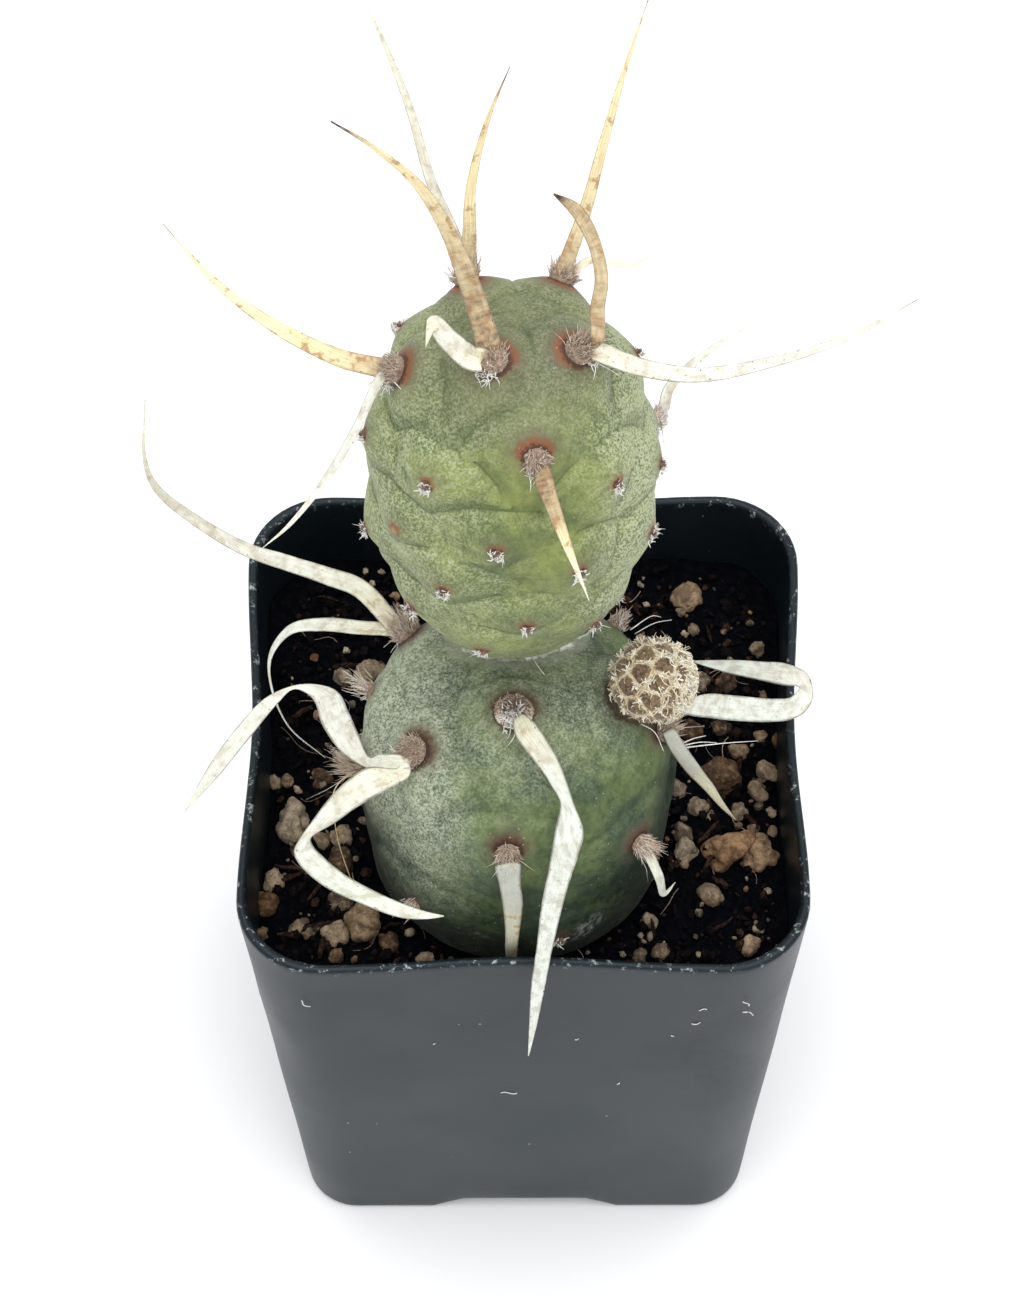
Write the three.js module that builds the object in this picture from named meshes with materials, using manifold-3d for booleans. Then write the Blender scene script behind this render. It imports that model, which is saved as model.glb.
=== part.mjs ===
// A paper spine cactus of two stacked segments in a small square pot.
// Millimetres, +Z up, origin on the surface below the middle of the pot.
// -Y is the front, where the large disc of felt on the lower segment faces.

import * as THREE from 'three';
import { mergeVertices } from 'three/addons/utils/BufferGeometryUtils.js';
import Module from 'manifold-3d';

const wasm = await Module();
wasm.setup();

// Pot
const POT_HEIGHT = 58;
const RIM_WIDTH = 54;
const FOOT_WIDTH = 44.6;
const RIM_CORNER = 8;
const FOOT_CORNER = 5;
const SIDE_BOW = 0.9;
const WALL = 0.9;
const SKIRT = 1.3;
const PLATE_LOW = 2;
const PLATE_HIGH = 3.2;
const NOTCH_LOW_WIDTH = 18.5;
const NOTCH_HIGH_WIDTH = 12.4;
const DRAIN_DIAMETER = 5;
const DRAIN_OFFSET = 13;

// Soil
const SOIL_LEVEL = 49;
const SOIL_ROUGHNESS = 0.7;
const GRANULE_COUNT = 26;
const GRANULE_SMALL = 0.7;
const GRANULE_LARGE = 1.6;
const GRANULE_SUNK = 0.25;
const PLANT_CLEARANCE = 16;

// Fits
const GAP = 0.3;
const DEG = Math.PI / 180;

// Segments: middle, lean away from the front, and radius against height above the middle
const LOWER = {
  middle: [-0.6, -7.7, 58.3],
  lean: 3,
  profile: [
    [0, -17], [7.5, -14.5], [12.8, -9.5], [14.8, -4], [15.2, 1.5],
    [14.8, 7], [13.7, 12], [10.8, 15.6], [5.6, 17.8], [0, 18.3],
  ],
  relief: 1.3,
  reach: 7.5,
  calm: -8,
};
const UPPER = {
  middle: [-0.9, 2.2, 96.8],
  lean: 7,
  profile: [
    [0, -21.2], [4.4, -19.8], [8.8, -15], [12.1, -8], [13.2, -1],
    [12.9, 6], [11.2, 12], [8.6, 16.5], [4.6, 19.2], [0, 20.2],
  ],
  relief: 1.5,
  reach: 5.5,
  calm: -15,
};
const ROUND_STEPS = 36;
const RISE_STEPS = 20;

// Areoles as angle (degrees from +X, 270 is the front) and height above the segment's middle.
// Those of the upper segment follow one spiral, a golden angle apart, from the crown down.
const GOLDEN_ANGLE = 137.5;
const UPPER_FIRST_ANGLE = 251;
const UPPER_AREOLES = 38;
const upperHeight = (i) => 19.2 - 1.16 * i + 0.0075 * i * i;

// Spiral places moved a little, as growth moved them: [degrees, millimetres]
const UPPER_SHIFTS = {
  1: [6, -0.6],
  2: [-1, 1.5],
  3: [-10, -0.8],
  4: [0, 1.6],
  5: [-2, 0],
  6: [6, 1],
  7: [6, 1],
  8: [3, -0.8],
  11: [10, 0],
  13: [1, -0.8],
  15: [-1, 1],
  16: [10, 0],
  20: [0, 3],
  23: [7, 2],
  24: [3, 1],
};

// The lower segment is older and its areoles are further apart
const LOWER_AREOLES = {
  disc: [267, 18.1],
  bud: [356.5, 15.9],
  left: [213, 15.4],
  backLeft: [138, 13],
  backRight: [47, 13],
  farLeft: [168, 12.5],
  right: [351, 12.8],
  front: [267, 11.1],
  back: [95, 11.5],
  sideLeft: [193, 9.4],
  frontRight: [318, 6.7],
  backLow: [66, 5.5],
  backLowLeft: [128, 5],
  rightLow: [20, 3],
  leftLow: [160, 1.5],
  frontLeftLow: [232, -0.3],
  frontLow: [285, -2.5],
  backLowest: [98, -2],
};

// Bud
const BUD_RADIUS = 4.1;
const BUD_NECK = 1.7;
const BUD_SCALES = 30;
const BUD_SCALE_RELIEF = 0.35;
const BUD_SCALE_REACH = 0.35;
const BUD_SUNK = 0.7;
const BUD_ROWS = 12;
const BUD_SIDES = 20;

// Spines
const RIBBON_THICKNESS = 0.6;
const TIP_WIDTH = 0.35;
const RIBBON_FOOT_WIDTH = 1;

const material = (color, roughness) => new THREE.MeshStandardMaterial({ color, roughness, metalness: 0 });

// Repeatable random numbers from 0 to 1
function seeded(seed) {
  let state = seed;
  return () => {
    state = (state * 1664525 + 1013904223) % 4294967296;
    return state / 4294967296;
  };
}

// Solids

function solid(geometry) {
  const bare = geometry.clone();
  bare.deleteAttribute('normal');
  bare.deleteAttribute('uv');
  const merged = mergeVertices(bare, 1e-5);
  const vertProperties = new Float32Array(merged.attributes.position.array);
  const triVerts = new Uint32Array(merged.index.array);
  return new wasm.Manifold(new wasm.Mesh({ numProp: 3, vertProperties, triVerts }));
}

function mesh(name, shape, look) {
  const { vertProperties, triVerts } = largest(shape).getMesh();
  const geometry = new THREE.BufferGeometry();
  geometry.setAttribute('position', new THREE.BufferAttribute(vertProperties, 3));
  geometry.setIndex(new THREE.BufferAttribute(triVerts, 1));
  geometry.computeVertexNormals();
  const piece = new THREE.Mesh(geometry, look);
  piece.name = name;
  return piece;
}

// The outer surface of a shape's largest piece, without loose scraps or sealed hollows
function largest(shape) {
  return shape.decompose().sort((a, b) => b.volume() - a.volume())[0];
}

// Closed surface through rings of equal point count, with a middle point at each end
function loft(rings, start, end) {
  const count = rings[0].length;
  const points = [start, ...rings.flat(), end];
  const index = [];
  for (let k = 0; k < count; k++) {
    const next = (k + 1) % count;
    index.push(0, 1 + next, 1 + k);
    for (let r = 0; r < rings.length - 1; r++) {
      const a = 1 + r * count;
      const b = a + count;
      index.push(a + k, a + next, b + next);
      index.push(a + k, b + next, b + k);
    }
    const last = 1 + (rings.length - 1) * count;
    index.push(points.length - 1, last + k, last + next);
  }
  const geometry = new THREE.BufferGeometry().setFromPoints(points);
  geometry.setIndex(index);
  return geometry;
}

// A turned shape round the direction "up" from the point "base"
function turned(outline, sides, base, up) {
  const shape = new THREE.LatheGeometry(outline.map(([r, h]) => new THREE.Vector2(r, h)), sides);
  const turn = new THREE.Quaternion().setFromUnitVectors(new THREE.Vector3(0, 1, 0), up);
  shape.applyQuaternion(turn);
  shape.translate(base.x, base.y, base.z);
  return solid(shape);
}

// Pot

// One level of the pot: a square with round corners, its sides bowed inward
function potRing(height, inset = 0) {
  const rise = height / POT_HEIGHT;
  const half = THREE.MathUtils.lerp(FOOT_WIDTH, RIM_WIDTH, rise) / 2 - inset;
  const corner = THREE.MathUtils.lerp(FOOT_CORNER, RIM_CORNER, rise) - inset / 2;
  const flat = half - corner;
  const bow = SIDE_BOW * rise;
  const ring = [];
  for (let side = 0; side < 4; side++) {
    const turn = side * 90 * DEG;
    for (const along of [-0.5, 0, 0.5]) {
      const place = new THREE.Vector3(half - bow * (1 - along * along), along * flat, height);
      ring.push(place.applyAxisAngle(new THREE.Vector3(0, 0, 1), turn));
    }
    for (const angle of [0, 15, 30, 45, 60, 75, 90]) {
      const x = flat + corner * Math.cos(angle * DEG);
      const y = flat + corner * Math.sin(angle * DEG);
      ring.push(new THREE.Vector3(x, y, height).applyAxisAngle(new THREE.Vector3(0, 0, 1), turn));
    }
  }
  return ring;
}

function makePot() {
  const outside = [potRing(0, 0.25), potRing(0.4), potRing(POT_HEIGHT)];
  const inside = [potRing(POT_HEIGHT, WALL), potRing(PLATE_HIGH + 1, WALL)];
  const floor = [potRing(0, WALL + 1.2)];
  floor[0].forEach((p) => p.setZ(PLATE_HIGH));
  const skirt = [potRing(PLATE_LOW, SKIRT), potRing(0, SKIRT)];
  const middle = (z) => new THREE.Vector3(0, 0, z);
  const rings = [...skirt, ...outside, ...inside, ...floor];
  let pot = solid(loft(rings, middle(PLATE_LOW), middle(PLATE_HIGH)));
  for (let side = 0; side < 4; side++) {
    const outline = new THREE.Shape([
      new THREE.Vector2(-NOTCH_LOW_WIDTH / 2, -1),
      new THREE.Vector2(NOTCH_LOW_WIDTH / 2, -1),
      new THREE.Vector2(NOTCH_LOW_WIDTH / 2 - 0.6, 0.5),
      new THREE.Vector2(NOTCH_HIGH_WIDTH / 2, PLATE_LOW),
      new THREE.Vector2(-NOTCH_HIGH_WIDTH / 2, PLATE_LOW),
      new THREE.Vector2(-NOTCH_LOW_WIDTH / 2 + 0.6, 0.5),
    ]);
    const notch = new THREE.ExtrudeGeometry(outline, { depth: 8, bevelEnabled: false });
    notch.rotateX(90 * DEG);
    notch.translate(0, -FOOT_WIDTH / 2 + 4, 0);
    notch.rotateZ(side * 90 * DEG);
    pot = pot.subtract(solid(notch));
  }
  const drains = [[0, 0], [1, 1], [1, -1], [-1, 1], [-1, -1]];
  for (const [x, y] of drains) {
    const drain = new THREE.CylinderGeometry(DRAIN_DIAMETER / 2, DRAIN_DIAMETER / 2, 6, 12);
    drain.rotateX(90 * DEG);
    drain.translate(x * DRAIN_OFFSET, y * DRAIN_OFFSET, PLATE_LOW);
    pot = pot.subtract(solid(drain));
  }
  return pot;
}

// Segments

const localFrame = (segment) => new THREE.Matrix4()
  .makeRotationX(-segment.lean * DEG)
  .setPosition(...segment.middle);

function prepare(segment, areoles) {
  segment.curve = new THREE.SplineCurve(segment.profile.map(([r, s]) => new THREE.Vector2(r, s)));
  segment.frame = localFrame(segment);
  segment.areoles = areoles;
  segment.places = areoles.map(([angle, height]) => smoothPoint(segment, angle, riseAt(segment, height)));
}

// Share of the profile's length at which it reaches a height
function riseAt(segment, height) {
  let low = 0;
  let high = 1;
  for (let step = 0; step < 30; step++) {
    const half = (low + high) / 2;
    if (segment.curve.getPoint(half).y < height) low = half;
    else high = half;
  }
  return low;
}

function smoothPoint(segment, angle, rise) {
  const { x: radius, y: height } = segment.curve.getPoint(rise);
  const r = Math.max(radius, 0);
  return new THREE.Vector3(r * Math.cos(angle * DEG), r * Math.sin(angle * DEG), height);
}

function smoothNormal(segment, angle, rise) {
  const tangent = segment.curve.getTangent(THREE.MathUtils.clamp(rise, 0.01, 0.99));
  const x = tangent.y * Math.cos(angle * DEG);
  const y = tangent.y * Math.sin(angle * DEG);
  return new THREE.Vector3(x, y, -tangent.x).normalize();
}

// Low tubercles: the skin stands out at each areole and falls away between them
function tubercleHeight(segment, place) {
  const nearest = Math.min(...segment.places.map((areole) => areole.distanceTo(place)));
  const fall = Math.min(1, nearest / segment.reach);
  const calm = THREE.MathUtils.smoothstep(place.z, segment.calm, segment.calm + 4);
  return segment.relief * (0.5 - fall) * calm;
}

function skinPoint(segment, angle, rise, grow = 0) {
  const place = smoothPoint(segment, angle, rise);
  const out = smoothNormal(segment, angle, rise);
  return place.addScaledVector(out, tubercleHeight(segment, place) + grow).applyMatrix4(segment.frame);
}

// Place and outward direction of an areole in the plant's frame
function areoleSeat(segment, [angle, height]) {
  const rise = riseAt(segment, height);
  const base = skinPoint(segment, angle, rise);
  const up = smoothNormal(segment, angle, rise).transformDirection(segment.frame);
  return { base, up };
}

function makeBody(segment, grow = 0) {
  const rings = [];
  for (let row = 1; row < RISE_STEPS; row++) {
    const rise = row / RISE_STEPS;
    const ring = [];
    for (let k = 0; k < ROUND_STEPS; k++) {
      ring.push(skinPoint(segment, (k * 360) / ROUND_STEPS, rise, grow));
    }
    rings.push(ring);
  }
  return solid(loft(rings, skinPoint(segment, 0, 0, grow), skinPoint(segment, 0, 1, grow)));
}

// Three-sided needle from a sunk root to a point
function needle(root, tip, radius) {
  const along = tip.clone().sub(root);
  const shape = new THREE.ConeGeometry(radius, along.length(), 3);
  shape.translate(0, along.length() / 2, 0);
  const turn = new THREE.Quaternion().setFromUnitVectors(new THREE.Vector3(0, 1, 0), along.normalize());
  shape.applyQuaternion(turn);
  shape.translate(root.x, root.y, root.z);
  return solid(shape);
}

// Short bristles that spread from an areole
function bristles(base, up, count, length, spread, random) {
  const side = new THREE.Vector3(0, 0, 1).cross(up).normalize();
  const group = [];
  for (let k = 0; k < count; k++) {
    const turn = (k * 360 / count + random() * 40) * DEG;
    const lean = (spread * (0.6 + 0.4 * random())) * DEG;
    const way = up.clone().applyAxisAngle(side, lean).applyAxisAngle(up, turn);
    const root = base.clone().addScaledVector(up, -0.4).addScaledVector(way, 0.1);
    const tip = root.clone().addScaledVector(way, length * (0.7 + 0.5 * random()));
    group.push(needle(root, tip, 0.22));
  }
  return group;
}

const WOOL_OUTLINE = [[0, -0.7], [0.95, 0.05], [0, 0.5]];

// Felt and a few bristles, grown together with the skin
function woolTuft(segment, areole, random) {
  const { base, up } = areoleSeat(segment, areole);
  const felt = turned(WOOL_OUTLINE, 5, base, up);
  return [felt, ...bristles(base, up, 2, 1.9, 50, random)];
}

// Ribbon spines

// A flat ribbon along a route. The width runs across the route and the facing direction,
// which may turn from one direction at the root to another at the tip.
function ribbon({ route, width, taper = 3, face = [[0, -0.5, 0.85]], thick = RIBBON_THICKNESS }) {
  const curve = new THREE.CatmullRomCurve3(route.map((p) => new THREE.Vector3(...p)), false, 'centripetal');
  const steps = 2 * (route.length - 1);
  const first = new THREE.Vector3(...face[0]);
  const last = new THREE.Vector3(...face[face.length - 1]);
  const rings = [];
  for (let k = 0; k <= steps; k++) {
    const share = k / steps;
    const place = curve.getPoint(share);
    const tangent = curve.getTangent(share);
    const facing = first.clone().lerp(last, share);
    const across = tangent.clone().cross(facing).normalize();
    const out = tangent.clone().cross(across).normalize();
    const half = Math.max(TIP_WIDTH, width * (1 - share ** taper)) / 2;
    const slim = (thick / 2) * (1 - 0.35 * share);
    const corner = (a, b) => place.clone().addScaledVector(across, a * half).addScaledVector(out, b * slim);
    rings.push([corner(-1, -1), corner(1, -1), corner(1, 1), corner(-1, 1)]);
  }
  return solid(loft(rings, curve.getPoint(0), curve.getPoint(1)));
}

// A flat ribbon between two edges, given as pairs of points from the areole to the tip
function edgedRibbon({ edges, thick = RIBBON_THICKNESS }, feet) {
  const pairs = edges.map((p) => [new THREE.Vector3(...p.slice(0, 3)), new THREE.Vector3(...p.slice(3))]);
  const toSide = pairs[0][1].clone().sub(pairs[0][0]).setLength(RIBBON_FOOT_WIDTH / 2);
  pairs.unshift(...feet.map((foot) => [foot.clone().sub(toSide), foot.clone().add(toSide)]));
  const middles = pairs.map(([a, b]) => a.clone().add(b).multiplyScalar(0.5));
  const last = pairs.length - 1;
  const rings = pairs.map(([a, b], k) => {
    const share = k / last;
    const tangent = middles[Math.min(k + 1, last)].clone().sub(middles[Math.max(k - 1, 0)]);
    const across = b.clone().sub(a).normalize();
    const out = tangent.cross(across).normalize();
    const half = Math.max(TIP_WIDTH, a.distanceTo(b)) / 2;
    const slim = (thick / 2) * (1 - 0.35 * share);
    const place = middles[k];
    const corner = (u, v) => place.clone().addScaledVector(across, u * half).addScaledVector(out, v * slim);
    return [corner(-1, -1), corner(1, -1), corner(1, 1), corner(-1, 1)];
  });
  return solid(loft(rings, middles[0], middles[last]));
}

const cushionOutline = (r) => [[0, -1], [0.85 * r, -1], [r, 0.1], [0, 0.65]];
const pitOutline = (r) => [
  [0, -1 - GAP], [0.85 * r + GAP, -1 - GAP], [r + GAP, 0.1 - GAP], [r + GAP, 2], [0, 2],
];

// A felt cushion with its ribbons and bristles, and the pit that it stands in
function makeCluster(segment, cluster, random) {
  const { base, up } = areoleSeat(segment, cluster.at);
  const radius = cluster.felt ?? 1.4;
  let shape = turned(cushionOutline(radius), 8, base, up);
  const root = base.clone().addScaledVector(up, -0.3);
  const stub = base.clone().addScaledVector(up, 1.1);
  for (const spine of cluster.ribbons) {
    const blade = spine.edges
      ? edgedRibbon(spine, [root, stub])
      : ribbon({ ...spine, route: [root.toArray(), stub.toArray(), ...spine.route] });
    shape = shape.add(blade);
  }
  for (const tuft of bristles(base, up, cluster.bristles ?? 3, cluster.bristleLength ?? 2.2, 40, random)) {
    shape = shape.add(tuft);
  }
  return { shape, pit: turned(pitOutline(radius), 10, base, up) };
}

const CREAM = 0xe9e4d2;
const TAN = 0xcfae74;
const UP = [0, 0, 1];
const LEFT_FACE = [-0.6, -0.4, 0.7];
const FRONT_FACE = [0, -1, 0.2];

const UPPER_CLUSTERS = {
  crown_front: {
    at: 0,
    felt: 1.6,
    tone: TAN,
    ribbons: [
      {
        width: 2.3, taper: 1.6, thick: 0.9, face: [FRONT_FACE],
        route: [
          [-3.6, 2.6, 120.5], [-5, 4.2, 125], [-6.4, 5.4, 128.8], [-8.8, 6.4, 133.4],
          [-12.3, 6.8, 137.6], [-15.6, 6.7, 141],
        ],
      },
      {
        width: 2, taper: 3,
        route: [
          [-4.2, -0.8, 118.2], [-6, -0.6, 120.4], [-7.5, -0.2, 122.2], [-8.1, -1.8, 121.6],
        ],
      },
    ],
  },
  crown_back: {
    at: 1,
    tone: TAN,
    ribbons: [
      {
        width: 1.5, taper: 1.8, thick: 0.8, face: [FRONT_FACE],
        route: [
          [-4.5, 13.2, 118], [-4.3, 15, 122], [-2.9, 17.6, 127.5], [-0.9, 19.6, 132.5],
        ],
      },
      {
        width: 1.1, face: [FRONT_FACE],
        route: [
          [-5.8, 13.6, 117], [-7.8, 15.6, 122], [-9.4, 18.2, 128], [-11.4, 20.4, 134],
          [-13.2, 22, 138.5],
        ],
      },
    ],
  },
  crown_right: {
    at: 2,
    felt: 1.5,
    tone: TAN,
    ribbons: [
      {
        thick: 0.8,
        edges: [
          [5.8, 1.7, 118.2, 7.3, 1.5, 118], [5.8, 4.2, 118.6, 7.3, 4.2, 118.6],
          [6.1, 5.6, 120.8, 7.5, 5.6, 120.8], [5.9, 6.7, 123.4, 7.1, 6.9, 123.6],
          [5.1, 7.3, 125.6, 6.1, 7.9, 126], [4.2, 7.6, 127.5, 4.8, 8.4, 128],
          [2.8, 8.3, 129.1, 2.8, 8.5, 129.2],
        ],
      },
      {
        width: 1.7, taper: 2, face: [[0, -0.6, 0.8]],
        route: [
          [10.2, 0.8, 114.8], [15.4, 0.4, 114.2], [21.4, 1.4, 114.6], [28.2, 3.2, 115.8],
          [34.2, 5.6, 118],
        ],
      },
    ],
  },
  shoulder_left: {
    at: 3,
    felt: 1.5,
    tone: TAN,
    ribbons: [
      {
        width: 1.8, taper: 2, thick: 0.8,
        route: [
          [-15.7, 3, 113.2], [-20.8, 4.1, 115.9], [-25.6, 5.7, 119.6], [-30.6, 8.6, 125],
        ],
      },
      {
        width: 1.2, taper: 2, face: [LEFT_FACE],
        route: [
          [-14.4, -1.3, 108.6], [-17.3, -4.4, 105], [-20.4, -7.1, 102.3],
          [-22.8, -8.6, 100.9],
        ],
      },
    ],
  },
  shoulder_back: {
    at: 4,
    tone: TAN,
    ribbons: [
      {
        width: 1.5, taper: 1.8, thick: 0.8, face: [FRONT_FACE],
        route: [
          [5.6, 16.2, 117], [7.2, 19, 123], [8.8, 21.4, 129], [11, 24, 136.5],
        ],
      },
      {
        width: 0.9, face: [UP],
        route: [
          [6.4, 14.2, 112.6], [9.4, 13.8, 112.2], [11.6, 14.4, 113],
        ],
      },
    ],
  },
  face_middle: {
    at: 5,
    felt: 1.2,
    tone: TAN,
    ribbons: [
      {
        width: 1.8, taper: 2, thick: 0.7, face: [FRONT_FACE],
        route: [
          [2.4, -9.9, 110.6], [4, -13, 107.4], [5.8, -16.6, 104.6],
        ],
      },
    ],
  },
  back_high: {
    at: 9,
    tone: CREAM,
    ribbons: [
      {
        width: 1.6, face: [[0, 1, 0.4]],
        route: [
          [-1.8, 17.4, 104.6], [-2.6, 19.2, 101], [-3.2, 20.2, 96], [-2.8, 20.8, 90],
        ],
      },
    ],
  },
  back_right: {
    at: 20,
    tone: CREAM,
    ribbons: [
      {
        width: 1.1, face: [UP],
        route: [
          [13.2, 9.4, 99.8], [15, 11.2, 100.6], [17.6, 13, 101.6], [20.6, 15, 101.8],
        ],
      },
    ],
  },
  back_left: {
    at: 14,
    tone: CREAM,
    ribbons: [
      {
        width: 1.5, face: [[-0.4, 1, 0.3]],
        route: [
          [-10.6, 16, 101], [-11.4, 18.6, 97], [-10.4, 20.4, 91.6], [-8, 21.6, 87],
        ],
      },
    ],
  },
};

const LOWER_CLUSTERS = {
  disc: {
    at: 'disc',
    felt: 1.9,
    tone: CREAM,
    ribbons: [
      {
        edges: [
          [-0.7, -13.7, 78.1, 1.1, -12.7, 78.8], [0.4, -15.5, 78.2, 2.2, -14.5, 78.7],
          [1.4, -17.2, 78.5, 3.3, -16.8, 78.7], [2.4, -18.3, 77.4, 4.5, -19.5, 76.5],
          [3.3, -19.6, 76.3, 5.5, -22, 74.8], [2.9, -21.4, 74.4, 5, -23.4, 73.1],
          [2.4, -23.1, 71.2, 4.4, -24.1, 70.6], [1.7, -25, 67.1, 3.7, -25, 67.1],
          [1.2, -27, 62.3, 2.7, -27, 62.3], [0.7, -28.4, 57.5, 2, -28.4, 57.5],
          [0.5, -29.8, 52.3, 1.2, -29.8, 52.3], [0.4, -30.8, 48.7, 0.5, -30.8, 48.7],
        ],
      },
    ],
  },
  left: {
    at: 'left',
    felt: 1.7,
    tone: CREAM,
    ribbons: [
      {
        edges: [
          [-10.4, -14.9, 74.6, -11.5, -13.9, 75.2], [-12.5, -14.6, 73.8, -13, -13.4, 74.5],
          [-14.4, -13.8, 72.8, -14.1, -13, 73.3], [-16.7, -13, 74.4, -15.2, -11.4, 75.3],
          [-18.3, -11.5, 76.4, -15.9, -10.5, 77.1], [-19.2, -10.4, 79.5, -17, -9.8, 79.8],
          [-20.8, -10.1, 80.4, -19.8, -9.7, 80.7], [-22.3, -11, 79.4, -23.1, -10.4, 79.8],
          [-24.8, -12.9, 76.8, -26, -12.1, 77.3], [-27.5, -15.1, 74.2, -28.8, -14.7, 74.4],
          [-31.1, -17.1, 70.4, -31.1, -17.1, 70.5],
        ],
      },
      {
        edges: [
          [-11.4, -14.9, 74.6, -10.3, -15.5, 74.2], [-14.2, -15.5, 75.6, -12.5, -17.3, 74.5],
          [-17.1, -17.2, 74.2, -15, -18.4, 73.5], [-18.9, -18.5, 72.1, -17.3, -19.1, 71.6],
          [-20.8, -20.1, 69.4, -19.4, -19.5, 69.7], [-21, -20.5, 68.3, -19.2, -19.9, 68.8],
          [-20.4, -21.2, 67.4, -18.6, -20.2, 68], [-18.2, -22.3, 65.6, -16.4, -21.3, 66.2],
          [-15.2, -23.2, 64.3, -13.5, -22.4, 64.9], [-11.4, -24.5, 63.8, -10.8, -23.5, 64.5],
          [-9, -24.9, 64.2, -8.9, -24.3, 64.6], [-7.3, -25, 64.8, -7.3, -24.9, 64.9],
        ],
      },
    ],
  },
  back_left: {
    at: 'backLeft',
    felt: 1.6,
    tone: CREAM,
    ribbons: [
      {
        width: 1.8, taper: 2,
        route: [
          [-15, 5.6, 73], [-18.6, 8.4, 71.4], [-22.5, 10.2, 71], [-26.3, 11.2, 71.8],
          [-31, 11.8, 76], [-34, 11.4, 81.4], [-34.8, 11, 87], [-34.2, 11.4, 95.6],
        ],
      },
      {
        width: 1.5, taper: 2.4, face: [UP, [-1, 0, 0.2]],
        route: [
          [-15.6, 3.4, 70], [-19, 5.2, 67.8], [-22, 5.2, 67], [-23.9, 3.6, 65.2],
          [-24, 1.8, 62.6], [-22.4, -1, 59.6], [-18.9, -3.5, 57.9],
        ],
      },
    ],
  },
  right: {
    at: 'right',
    felt: 1.1,
    tone: CREAM,
    bristleLength: 3.4,
    ribbons: [
      {
        edges: [
          [15.5, -6.4, 72.6, 14.2, -7.6, 71.8], [17.1, -4.3, 70.4, 16.5, -6.1, 69.2],
          [19.8, -2.2, 66.8, 19.8, -4.2, 65.5], [23.7, -0.7, 63.9, 23.4, -2.5, 62.6],
          [25.4, 0.1, 62.9, 25.5, -1.7, 61.7], [26.1, 0.5, 62.9, 27, -0.9, 61.9],
          [26.3, 1.1, 63, 27.7, 0.7, 62.5], [25.8, 1.6, 63, 27, 2.6, 63.8],
          [24.9, 1.5, 62.7, 25.1, 3.3, 63.8], [23.1, 2.3, 62.2, 23.1, 3.9, 63.2],
          [19.4, 3.5, 61.9, 20.1, 4.5, 62.6], [16.4, 4.7, 61.8, 16.4, 4.9, 61.9],
        ],
      },
      {
        edges: [
          [13.6, -10.8, 71, 15, -10.4, 71.3], [15.2, -10.9, 67.1, 16.7, -10.7, 67.2],
          [17, -11.2, 64.3, 17.9, -10.8, 64.5], [18.5, -11.4, 61.7, 18.9, -11, 61.9],
          [20, -11.6, 59.6, 20.1, -11.6, 59.7],
        ],
      },
    ],
  },
  front: {
    at: 'front',
    felt: 1.3,
    tone: CREAM,
    ribbons: [
      {
        edges: [
          [-2.5, -23, 70.6, -0.2, -22.8, 70.7], [-2.2, -23.6, 68.1, -0.2, -23.6, 68.1],
          [-1.9, -24.1, 65.4, 0, -23.9, 65.5], [-1.7, -24.2, 61, -0.3, -24.2, 61],
          [-1.7, -24, 56.5, -0.6, -24, 56.5], [-1.4, -23.8, 53.5, -0.8, -23.8, 53.5],
        ],
      },
    ],
  },
  front_right: {
    at: 'frontRight',
    felt: 1.1,
    tone: CREAM,
    ribbons: [
      {
        width: 1, taper: 4, face: [[0.5, -0.8, 0.3]],
        route: [
          [12.6, -19.6, 62.8], [13.2, -19.8, 60], [14.2, -18.8, 60.4],
        ],
      },
    ],
  },
  side_left: {
    at: 'sideLeft',
    felt: 1.2,
    tone: CREAM,
    bristleLength: 3,
    ribbons: [
      {
        width: 0.8, taper: 3, face: [[-1, 0, 0]],
        route: [
          [-17.5, -12.6, 67], [-17.4, -15.4, 64], [-15.8, -18.6, 58.6],
        ],
      },
    ],
  },
  back: {
    at: 'back',
    felt: 1.5,
    tone: CREAM,
    ribbons: [
      {
        width: 1.8, taper: 2.4, face: [[0, 0.4, 0.9]],
        route: [
          [-1, 12, 71.6], [1.4, 17.4, 72.4], [4.6, 23.4, 74], [7.2, 28, 76.6],
          [8, 31, 80.4],
        ],
      },
      {
        width: 1.5, face: [[0, 1, 0.4]],
        route: [
          [-4.4, 12, 69], [-8, 15.6, 67.2], [-10.6, 19.4, 63.4], [-9, 21.8, 58.6],
        ],
      },
    ],
  },
  back_low: {
    at: 'backLow',
    felt: 1.2,
    tone: CREAM,
    ribbons: [
      {
        width: 1.4, face: [[0.3, 1, 0.4]],
        route: [
          [6.4, 9.4, 64], [6.8, 13, 62], [6.8, 15.6, 58], [5.6, 16.8, 53.6],
        ],
      },
    ],
  },
};

// Soil

// Large pumice grains as [x, y, radius]
const GRANULES = [
  [20.8, -14.2, 2.4],
  [23.2, -14.4, 1.6],
  [-20.6, -12.6, 1.9],
  [-14.6, -22.4, 2],
  [-21.2, -20.4, 1.4],
  [20.8, -23.4, 1.2],
  [16.6, 9.6, 1.5],
  [15.4, 18, 1.4],
  [-13.4, 8.6, 1.5],
  [18.6, 4.2, 1.3],
  [13.6, -20.6, 1.1],
  [-18.8, -17.6, 1.6],
];

// Gentle humps and dips of the soil's surface
function soilHeight(x, y) {
  const broad = 0.5 * Math.sin(0.55 * x + 1) * Math.cos(0.47 * y);
  const narrow = 0.35 * Math.sin(0.9 * y - 0.6 * x);
  return SOIL_LEVEL + SOIL_ROUGHNESS * (broad + narrow);
}

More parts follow.
